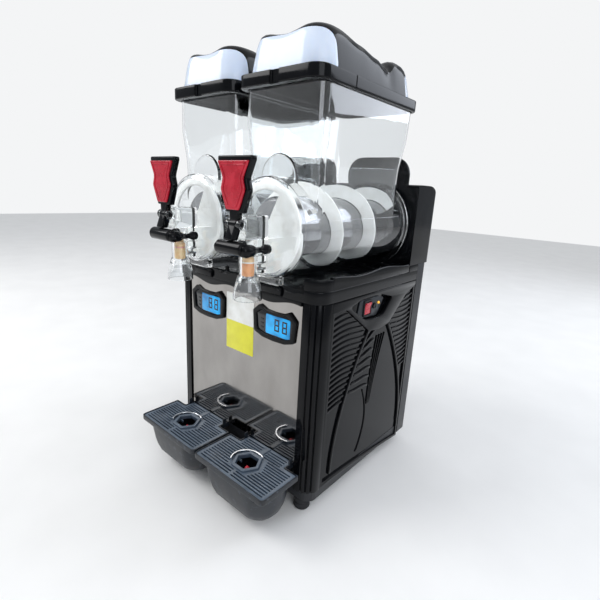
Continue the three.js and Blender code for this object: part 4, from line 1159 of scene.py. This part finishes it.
def build_augers():
    """White auger: a tapered helical blade, its spider disc and hub; and the steel drum inside it."""
    start = -29
    sizes = bpy.context.scene.slush_sizes
    pitch, turns, reach = sizes.auger_pitch / MM, sizes.auger_turns, sizes.auger_reach / MM
    root = DRUM_RADIUS + 1.2
    blade = [(root, -2.6), (66, -2.1), (reach - 1, -1.5), (reach, 0), (reach - 1, 1.5), (66, 2.1),
             (root, 2.6),
             (root, -2.6)]
    points = [place(0, start, AXIS_Z) + Vector((r * MM, h * MM, 0)) for r, h in blade]
    helix = draw("auger_flights", points)
    bpy.ops.mesh.remove_doubles(threshold=0.00001)
    bpy.ops.object.mode_set(mode="OBJECT")
    axis = bpy.data.objects.new("helix_axis", None)
    bpy.context.scene.collection.objects.link(axis)
    axis.matrix_world = Matrix.Translation(place(0, start, AXIS_Z))
    take(helix)
    bpy.ops.object.modifier_add(type="SCREW")
    screw = helix.modifiers[-1]
    screw.object = axis
    screw.axis = "Y"
    screw.angle = 2 * math.pi * turns
    screw.screw_offset = pitch * turns * MM
    screw.steps = 232
    screw.render_steps = 232
    screw.use_merge_vertices = False
    bpy.ops.object.modifier_apply(modifier=screw.name)
    bpy.data.objects.remove(axis)
    edit(helix)
    bpy.ops.mesh.fill_holes(sides=0)
    bpy.ops.object.mode_set(mode="OBJECT")
    weld(helix)
    for_each_tank(helix, "auger", "white_plastic", ["auger"], 50)
    opening = [(62 * math.cos(a), AXIS_Z + 62 * math.sin(a)) for a in
               [math.pi * (0.35 + 0.85 * k / 30) for k in range(31)]]
    opening += [(16 * math.cos(a), AXIS_Z + 16 * math.sin(a)) for a in
                [math.pi * (1.2 - 0.85 * k / 12) for k in range(13)]]
    rim = [(75 * math.cos(a), AXIS_Z + 75 * math.sin(a)) for a in [2 * math.pi * k / 96 for k in range(96)]]
    disc = plate("auger_spider", [rim, opening], start - 2, start + 3, "Y", 1.6, 3)
    for_each_tank(disc, "auger", "white_plastic", (), 45)
    hub = turned("auger_hub",
                 [(0, -32), (9, -32, 2), (13, -29, 1.5), (13, -18, 1), (6.4, -18), (6.4, -30), (0, -30)],
                 "Y", 0, 0, AXIS_Z, 48)
    for_each_tank(hub, "auger", "white_plastic")
    drum = turned("freezing_drum",
                  [(0, -14), (45, -14, 3), (DRUM_RADIUS, -7, 6), (DRUM_RADIUS, 298.7), (82, 298.7, 1),
                   (82, 302.7, 1),
                                    (8, 302.7), (8, -10), (0, -10)], "Y", 0, 0, AXIS_Z, 96, 5)
    for_each_tank(drum, "machine", "satin_steel", ["evaporator_drum"], 40)


def lid_top(x, y):
    """Height of the lid's top: high at the front, a valley before its rear block, hollow along the middle."""
    path = [(-40, LID_TOP), (45, LID_TOP), (100, 831), (150, 824), (184, 815), (204, 830), (216, 832.5),
            (300, 832)]
    for (y0, z0), (y1, z1) in zip(path, path[1:]):
        if y <= y1:
            share = max(0.0, (y - y0) / (y1 - y0))
            ease = share * share * (3 - 2 * share)
            return z0 + (z1 - z0) * ease - 9 * max(0.0, 1 - (x / 62) ** 2) ** 2
    return path[-1][1]


def lid_form(name, inset, floor):
    """The lid's upper part: leaning sides, a rounded shoulder and a modelled top."""
    half, front, back = 84 - inset, -14 + inset, 282 - inset
    shoulder = [(0, 0), (38, 6.5), (46, 8.5), (53, 11), (58.5, 14.5), (62, 19), (64, 24.5), (65, 31),
                (65, 42),
                (65, 54), (65, 66)]
    base = (floor, -half, half, front, back)
    rise = (LID_TOP - RIM_TOP - 0.5) / shoulder[-1][0]
    levels = [(RIM_TOP + 0.5 + up * rise, -half + lean, half - lean, front + lean * 0.7, back - lean)
              for up, lean in shoulder]
    form = tower(name, base, levels, 40 - inset, 12, 26)
    for corner in form.data.vertices:
        x, y, z = corner.co.x / MM, (corner.co.y - PANEL_Y) / MM, corner.co.z / MM
        if z > RIM_TOP + 1:
            share = (z - RIM_TOP) / (LID_TOP - RIM_TOP)
            corner.co.z = (RIM_TOP + share * (lid_top(x, y) - inset - RIM_TOP)) * MM
    return form


def lens_reach(name, back, low, high, grow=0.0, front=-40):
    """The block that a lens is cut from: open at one end, with round corners at the other."""
    g = grow
    if front < 0:
        outline = fillet([(front, low - g), (back + g, low - g, 6 + g), (back + g, high + g, 34 + g),
                          (front, high + g)], 12)
    else:
        outline = fillet([(front - g, low - g, 6 + g), (back, low - g), (back, high + g),
                          (front - g, high + g, 6 + g)], 9)
    return plate(name, [outline], -110, 110, "X")


def build_lids():
    """Black lid over each hopper, with opal lenses wrapped round its front and rear corners."""
    reaches = {"front": (26, RIM_TOP + 0.3, 827, -40), "rear": (320, RIM_TOP + 0.3, 813, 240)}
    cover = lid_form("lid_shell", 0, RIM_TOP - 2)
    for back, low, high, front in reaches.values():
        pocket = lens_reach("pocket", back, low, high, 0.4, front)
        combine(pocket, "DIFFERENCE", lid_form("pocket_floor", 2, RIM_TOP - 6))
        combine(cover, "DIFFERENCE", pocket)
    rim = plate("rim", [rounded_box(-90, 90, -23, 290, 24, 12)], RIM_BOTTOM, RIM_TOP, "Z", 2.2, 4)
    notch = plate("notch", [fillet([(-10, -30), (10, -30), (10, -18.6, 2), (-10, -18.6, 2)], 5)], 740, 790,
                  "Z")
    seat = plate("seat", [rounded_box(-84.6, 84.6, -10.6, 284.6, 20, 10)], 740, HOPPER_TOP + 0.3, "Z")
    combine(cover, "UNION", rim)
    combine(cover, "DIFFERENCE", notch, seat, lid_form("room", 5.5, HOPPER_TOP - 1))
    for side in (-1, 1):
        slit = plate("slit", [rounded_box(66, 69, 700, 777, 1)], *sorted((side * 88.8, side * 100)), "X")
        combine(cover, "DIFFERENCE", slit)
    for_each_tank(cover, "lid", "gloss_black", ["lid_cover"], 32)
    for which, (back, low, high, front) in reaches.items():
        lens = lens_reach(f"lid_{which}_window", back, low, high, 0, front)
        combine(lens, "INTERSECT", lid_form("outer", 0.2, RIM_TOP - 2))
        combine(lens, "DIFFERENCE", lid_form("core", 1.8, RIM_TOP - 6))
        for_each_tank(lens, "lid", "pale_lens", [f"lid_{which}_lens"], 40)


def build_taps():
    """Each tap: black lever with its red paddle insert, lifting yoke and stained piston."""
    lever = plate("lever_paddle", [paddle_outline(0)], -100, -88, "Y", 2.2, 4)
    neck = plate("neck", [fillet([(-8, 538, 2), (8, 538, 2), (10, 566), (-10, 566)], 4)], -100, -90, "Y",
                 1.4, 3)
    hub = turned("hub", [(0, -8.6), (8, -8.6, 1), (8, 8.6, 1), (0, 8.6)], "X", 0, PIVOT_Y, PIVOT_Z, 40)
    pin = turned("pin", [(0, -15.6), (3.9, -15.6, 0.8), (3.9, 15.6, 0.8), (0, 15.6)], "X", 0, PIVOT_Y,
                 PIVOT_Z, 28)
    arm = plate("arm", [fillet([(-103, 545, 3), (-111.5, 521, 3), (-97, 521, 3), (-90, 541, 3)], 5)], -8, 8,
                "X", 1.4, 3)
    combine(lever, "UNION", neck, hub, pin, arm)
    for_each_tank(lever, "tap", "gloss_black", ["tap_handle"], 38)
    insert = plate("lever_insert", [paddle_outline(4.4, 3)], -103.6, -99.6, "Y", 1.2, 4)
    for_each_tank(insert, "tap", "red_plastic", ["tap_handle_insert"], 45)
    thumb = plate("lever_rib", [paddle_outline(8.4, 3), paddle_outline(10, 3)], -104.4, -103.2, "Y", 0.5, 3)
    for_each_tank(thumb, "tap", "red_plastic", (), 45)
    bar = turned("yoke_bar", [(0, -30), (9, -30, 3), (11, -27, 3), (11, 27, 3), (9, 30, 3), (0, 30)],
                 "X", 0, -103, 509.4, 48)
    for side in (-1, 1):
        arm_line = [(0, -110), (8, -109, 5), (10.6, -100, 8), (9, -88, 8), (4.8, -78, 6), (4.6, -68, 6),
                    (8, -60, 5),
                    (7.4, -51, 4), (0, -49)]
        combine(bar, "UNION", turned("yoke_arm", arm_line, "Y", side * 29, 0, 507.5, 40))
    flat = plate("flat", [rounded_box(-60, 60, 520.7, 540, 1, 2)], -130, -40, "Y")
    combine(bar, "DIFFERENCE", flat)
    for_each_tank(bar, "tap", "gloss_black", ["tap_yoke"], 40)
    piston = turned("piston_body",
                    [(0, 460), (9, 460, 1), (10.2, 462, 0.8), (10.2, 482.6, 0.6), (0, 482.6)],
                    "Z", 0, TAP_Y, 0, 48)
    bodies = {"left": "cream_plastic", "right": "amber_plastic"}
    for_each_tank(piston, "piston", bodies, ["tap_piston"])
    crown = turned("piston_crown",
                   [(0, 485), (10.1, 485, 0.6), (10.1, 490.6, 1.4), (7, 493, 1), (7, 508.6, 1.2),
                                    (5, 511, 0.8), (0, 511)], "Z", 0, TAP_Y, 0, 48)
    for_each_tank(crown, "piston", "cream_plastic")
    ring = turned("piston_ring", [(7, 482.7), (10.3, 482.7, 1), (10.3, 484.9, 1), (7, 484.9), (7, 482.7)],
                  "Z", 0, TAP_Y, 0, 48)
    rings = {"left": "rose_plastic", "right": "white_plastic"}
    for_each_tank(ring, "piston", rings)
    cross = turned("piston_pin", [(0, -20), (3, -20, 0.6), (3, 20, 0.6), (0, 20)], "X", 0, TAP_Y, 503, 24)
    for_each_tank(cross, "piston", "satin_steel")


def build_trays():
    """Drip tray with its tucked neck, and the slotted grate with the raised eye and float."""
    ledge = TRAY_TOP - 6.3

    def belly(name, inset, top):
        """The tray's deep part, round-bottomed and set back from the rim."""
        i = inset
        return tower(name, (20 + i, -58 + i, 58 - i, -84 + i, -28 - i), [
            (24 + i, -66 + i, 66 - i, -91 + i, -23 - i), (32 + i, -73 + i, 73 - i, -98 + i, -18 - i),
            (46, -79 + i, 79 - i, -103 + i, -15.5 - i), (60, -82 + i, 82 - i, -106 + i, -14 - i),
            (80, -86 + i, 86 - i, -108.5 + i, -19 - i), (top, -88 + i, 88 - i, -109 + i,
                                                         -24 - i)], 26 - i, 10)

    rim = plate("tray_shell", [tray_outline(0, 6)], ledge - 4, TRAY_TOP, "Z", 1.0, 3)
    combine(rim, "DIFFERENCE", plate("ledge", [tray_outline(2.6, 3)], ledge, TRAY_TOP + 2, "Z"))
    combine(rim, "UNION", belly("belly", 0, ledge - 3))
    combine(rim, "DIFFERENCE", belly("belly_room", 3, ledge - 2),
            plate("well", [rounded_box(-84, 84, -105, -29, 14)], 82, TRAY_TOP + 2, "Z"))
    for_each_tank(rim, "tray", "slate_plastic", ["drip_tray"], 38)

    bottom = TRAY_TOP - 6

    def eye(half, deep):
        """The hexagonal eye under the nozzle."""
        corners = [(-half, 0), (-half / 2, -deep), (half / 2, -deep), (half, 0), (half / 2, deep),
                   (-half / 2, deep)]
        return fillet([(x, y - 61, 3) for x, y in corners], 4)

    slot = bpy.context.scene.slush_sizes.grate_slot / MM
    holes = [eye(26, 22)]
    for row in range(16):
        y = -105 + row * 6.3
        reach = 84 if y < -30 else 53
        clear = 38 - 20 * abs(y + 61) / 44 if abs(y + 61) < 27 else (3 if y < -61 else 8)
        holes += [rounded_box(clear, reach, y, y + slot, 1.4, 3),
                  rounded_box(-reach, -clear, y, y + slot, 1.4, 3)]
    grate = plate("grate_plate", [tray_outline(3.4, -1)] + holes, bottom, TRAY_TOP - 1, "Z", 0.5)
    for_each_tank(grate, "grate", "grate_plastic", ["drip_grate"], 40)
    collar = plate("grate_eye", [eye(30, 26), eye(23, 19)], bottom, TRAY_TOP + 3, "Z", 1.4, 3)
    for_each_tank(collar, "grate", "grate_plastic", (), 45)
    arc = [(33 * math.cos(a), -61 + 29 * math.sin(a))
           for a in [math.pi * (0.35 + 0.85 * k / 30) for k in range(31)]]
    half_ring = plate("grate_ring", [ribbon(arc, 1.6)], TRAY_TOP - 2, TRAY_TOP + 5, "Z", 1.0, 4)
    spokes = [rounded_box(-25, -15, -62.5, -59.5, 1, 3), rounded_box(15, 25, -62.5, -59.5, 1, 3)]
    for_each_tank(half_ring, "grate", "chrome", (), 50)
    bars = plate("grate_spokes", spokes, TRAY_TOP - 9, TRAY_TOP - 4, "Z", 0.8)
    for_each_tank(bars, "grate", "grate_plastic", ())
    strip = plate("grate_strip", [rounded_box(-6, 6, -36, -2.5, 1.2, 3)], TRAY_TOP - 2, TRAY_TOP + 0.6, "Z",
                  0.5)
    for_each_tank(strip, "grate", "grate_plastic", ())
    catches = plate("tray_catches",
                    [rounded_box(s * 61 - 1.2, s * 61 + 1.2, -13, -4, 1, 3) for s in (-1, 1)],
                    TRAY_TOP - 1, TRAY_TOP + 11, "Z", 0.8)
    for_each_tank(catches, "tray", "slate_plastic", ())
    tip = turned("tray_float",
                 [(0, TRAY_TOP - 40), (4, TRAY_TOP - 40), (4.6, TRAY_TOP - 12, 3), (0, TRAY_TOP - 7)],
                 "Z", 0, -61, 0, 28)
    for_each_tank(tip, "grate", "red_plastic")


def build_latches():
    """The flip-up clip under each bowl's front foot, and the ball catch beside it."""
    lever = fillet([(-13, 423, 2), (-8, 421.5, 1), (-4.6, 421.5, 1), (-4.6, 432, 2), (-8, 436.5, 2),
                    (-13, 434, 2)], 4)
    clip = plate("bowl_clip", [lever], -31, 22, "X", 1.0, 3)
    for_each_tank(clip, "latch", "gloss_black", ["bowl_latch"], 45)
    ball = turned("ball_catch",
                  [(0, 441), (4, 441), (4.4, 443.4, 1), (3.2, 444.4, 1), (4.6, 447.6, 3), (0, 451, 2)],
                  "Z", 60, -2, 0, 28)
    for_each_tank(ball, "machine", "gloss_black")


def finish_frame_parts():
    """The frame's own parts that stay as they are: each gets its finish."""
    parts = {
        "front_panel": "polished_steel", "base_pan": "painted_steel", "power_inlet": "black_rubber",
        "compressor": "painted_steel", "condenser": "raw_aluminium", "fan_motor": "painted_steel",
        "fan_blades": "raw_aluminium", "control_board": "circuit_board", "bowl_seal": "black_rubber",
        "drive_shaft": "satin_steel", "gear_motor": "painted_steel",
    }
    for node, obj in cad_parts.items():
        if obj.hide_render:
            continue
        name = node.removesuffix("_left").removesuffix("_right")
        if name not in parts:
            raise RuntimeError(f"{node} has no finish")
        obj.data.materials.clear()
        obj.data.materials.append(FINISHES[parts[name]])


# ---- stage -----------------------------------------------------------------------------------


def build_stage():
    """A pale floor, three large soft lights, an even overhead light, a bright surround and the camera."""
    drop_selection()
    bpy.ops.mesh.primitive_grid_add(x_subdivisions=8, y_subdivisions=8, size=14, location=(0, 0, -0.0004))
    floor = bpy.context.object
    floor.name = "studio_floor"
    floor.data.materials.append(FINISHES["floor"])
    lights = [
        ("key_light", (-1.9, -1.7, 2.3), (1.7, 1.7), 46, "#ffffff"),
        ("fill_light", (2.4, -1.2, 1.5), (1.6, 1.8), 24, "#f4f8ff"),
        ("rim_light", (1.4, 2.2, 1.9), (1.4, 1.8), 26, "#eef4ff"),
    ]
    for name, spot, size, power, tint in lights:
        lamp = bpy.data.lights.new(name, "AREA")
        lamp.shape = "RECTANGLE"
        lamp.size, lamp.size_y = size
        lamp.energy = power
        lamp.color = colour(tint)[:3]
        obj = bpy.data.objects.new(name, lamp)
        bpy.context.scene.collection.objects.link(obj)
        obj.location = spot
        obj.rotation_euler = (Vector((0, 0, 0.4)) - Vector(spot)).to_track_quat("-Z", "Y").to_euler()
    overhead = bpy.data.lights.new("overhead_light", "SUN")
    overhead.energy = 0.95
    overhead.angle = math.radians(110)
    ceiling = bpy.data.objects.new("overhead_light", overhead)
    bpy.context.scene.collection.objects.link(ceiling)
    ceiling.location = (0, 0, 3)
    world = bpy.data.worlds.new("studio surround")
    world.use_nodes = True
    tree = world.node_tree
    around = tree.nodes["Background"]
    around.inputs["Color"].default_value = colour("#e3e9f1")
    around.inputs["Strength"].default_value = 0.46
    seen = add(tree, "Background", inputs={"Color": colour("#f4f5f6"), "Strength": 1.0})
    path = add(tree, "LightPath").outputs
    straight = add(tree, "Math", {"operation": "MAXIMUM"},
                   {0: path["Is Camera Ray"], 1: path["Is Transmission Ray"]})
    both = add(tree, "MixShader", inputs={0: straight.outputs[0], 1: around.outputs[0], 2: seen.outputs[0]})
    tree.links.new(both.outputs[0], tree.nodes["World Output"].inputs["Surface"])
    bpy.context.scene.world = world
    bpy.context.scene.view_settings.view_transform = "Standard"

    forward = Vector((-0.61990, 0.73943, -0.26260)).normalized()
    right = forward.cross(Vector((0, 0, 1))).normalized()
    up = right.cross(forward)
    roll = math.radians(3.11)
    side = right * math.cos(roll) + up * math.sin(roll)
    over = up * math.cos(roll) - right * math.sin(roll)
    lens = bpy.data.cameras.new("camera")
    lens.lens = 24.43
    lens.sensor_width = 36
    lens.clip_start = 0.02
    camera = bpy.data.objects.new("camera", lens)
    bpy.context.scene.collection.objects.link(camera)
    turn = Matrix((side, over, -forward)).transposed().to_4x4()
    camera.matrix_world = Matrix.Translation((0.5785, -0.6517, 0.6015)) @ turn
    bpy.context.scene.camera = camera
    cycles = bpy.context.scene.cycles
    cycles.max_bounces = 24
    cycles.transmission_bounces = 24
    cycles.transparent_max_bounces = 32


# ---- the add-on ------------------------------------------------------------------------------


class SLUSH_OT_finishes(bpy.types.Operator):
    """Mix every finish from the chosen colours"""
    bl_idname = "slush.finishes"
    bl_label = "Finishes"

    def execute(self, context):
        mix_finishes()
        return {"FINISHED"}


class SLUSH_OT_stage(bpy.types.Operator):
    """Set up the floor, the lights, the surround and the camera"""
    bl_idname = "slush.stage"
    bl_label = "Stage"

    def execute(self, context):
        build_stage()
        return {"FINISHED"}


class SLUSH_OT_feet(bpy.types.Operator):
    """Turn the four rubber feet"""
    bl_idname = "slush.feet"
    bl_label = "Feet"

    def execute(self, context):
        build_feet()
        return {"FINISHED"}


class SLUSH_OT_posts(bpy.types.Operator):
    """Mould the fluted corner posts"""
    bl_idname = "slush.posts"
    bl_label = "Corner posts"

    def execute(self, context):
        build_posts()
        return {"FINISHED"}


class SLUSH_OT_side_panels(bpy.types.Operator):
    """Mould the louvred side panels"""
    bl_idname = "slush.side_panels"
    bl_label = "Side panels"

    def execute(self, context):
        build_side_panels()
        return {"FINISHED"}


class SLUSH_OT_switches(bpy.types.Operator):
    """Fit the switch plate, the rocker, the fuse and the lamp"""
    bl_idname = "slush.switches"
    bl_label = "Switches"

    def execute(self, context):
        build_switches()
        return {"FINISHED"}


class SLUSH_OT_deck(bpy.types.Operator):
    """Mould the bowl deck and its rails"""
    bl_idname = "slush.deck"
    bl_label = "Deck"

    def execute(self, context):
        build_deck()
        return {"FINISHED"}


class SLUSH_OT_rear_cover(bpy.types.Operator):
    """Mould the cover over the gear motors"""
    bl_idname = "slush.rear_cover"
    bl_label = "Rear cover"

    def execute(self, context):
        build_rear_cover()
        return {"FINISHED"}


class SLUSH_OT_displays(bpy.types.Operator):
    """Build both displays"""
    bl_idname = "slush.displays"
    bl_label = "Displays"

    def execute(self, context):
        build_displays()
        return {"FINISHED"}


class SLUSH_OT_label(bpy.types.Operator):
    """Stick on the blank label"""
    bl_idname = "slush.label"
    bl_label = "Label"

    def execute(self, context):
        build_label()
        return {"FINISHED"}


class SLUSH_OT_back(bpy.types.Operator):
    """Roll and pierce the steel back"""
    bl_idname = "slush.back"
    bl_label = "Back"

    def execute(self, context):
        build_back()
        return {"FINISHED"}


class SLUSH_OT_bowls(bpy.types.Operator):
    """Mould the clear bowls"""
    bl_idname = "slush.bowls"
    bl_label = "Bowls"

    def execute(self, context):
        build_bowls()
        return {"FINISHED"}


class SLUSH_OT_augers(bpy.types.Operator):
    """Build the augers and the freezing drums"""
    bl_idname = "slush.augers"
    bl_label = "Augers and drums"

    def execute(self, context):
        build_augers()
        return {"FINISHED"}


class SLUSH_OT_lids(bpy.types.Operator):
    """Mould the lids and their windows"""
    bl_idname = "slush.lids"
    bl_label = "Lids"

    def execute(self, context):
        build_lids()
        return {"FINISHED"}


class SLUSH_OT_taps(bpy.types.Operator):
    """Build the taps' levers, yokes and pistons"""
    bl_idname = "slush.taps"
    bl_label = "Taps"

    def execute(self, context):
        build_taps()
        return {"FINISHED"}


class SLUSH_OT_trays(bpy.types.Operator):
    """Mould the drip trays and grates"""
    bl_idname = "slush.trays"
    bl_label = "Drip trays"

    def execute(self, context):
        build_trays()
        return {"FINISHED"}


class SLUSH_OT_latches(bpy.types.Operator):
    """Build the bowl clips and ball catches"""
    bl_idname = "slush.latches"
    bl_label = "Latches"

    def execute(self, context):
        build_latches()
        return {"FINISHED"}


class SLUSH_OT_inner_parts(bpy.types.Operator):
    """Give the frame's own inner parts their finishes"""
    bl_idname = "slush.inner_parts"
    bl_label = "Inner parts"

    def execute(self, context):
        finish_frame_parts()
        return {"FINISHED"}


OPERATORS = (
    SLUSH_OT_finishes, SLUSH_OT_stage, SLUSH_OT_feet, SLUSH_OT_posts, SLUSH_OT_side_panels,
    SLUSH_OT_switches, SLUSH_OT_deck, SLUSH_OT_rear_cover, SLUSH_OT_displays, SLUSH_OT_label,
    SLUSH_OT_back, SLUSH_OT_bowls, SLUSH_OT_augers, SLUSH_OT_lids, SLUSH_OT_taps, SLUSH_OT_trays,
    SLUSH_OT_latches, SLUSH_OT_inner_parts,
)


class SLUSH_PT_pieces(bpy.types.Panel):
    """The sizes, the colours and a button for each group of pieces"""
    bl_idname = "SLUSH_PT_pieces"
    bl_label = "Slush machine"
    bl_space_type = "VIEW_3D"
    bl_region_type = "UI"
    bl_category = "Slush machine"

    def draw(self, context):
        for group in (context.scene.slush_sizes, context.scene.slush_colours):
            box = self.layout.box()
            for key in group.__annotations__:
                box.prop(group, key)
        for operator in OPERATORS:
            self.layout.operator(operator.bl_idname)


CLASSES = (SlushSizes, SlushColours, *OPERATORS, SLUSH_PT_pieces)


def register():
    """Add the classes, and the sizes and colours to the scene."""
    for kind in CLASSES:
        bpy.utils.register_class(kind)
    bpy.types.Scene.slush_sizes = bpy.props.PointerProperty(type=SlushSizes)
    bpy.types.Scene.slush_colours = bpy.props.PointerProperty(type=SlushColours)


def unregister():
    """Take them away again."""
    del bpy.types.Scene.slush_colours
    del bpy.types.Scene.slush_sizes
    for kind in reversed(CLASSES):
        bpy.utils.unregister_class(kind)


def main():
    """Build every piece."""
    register()
    for operator in OPERATORS:
        getattr(bpy.ops.slush, operator.bl_idname.split(".")[1])()


if __name__ == "__main__":
    main()
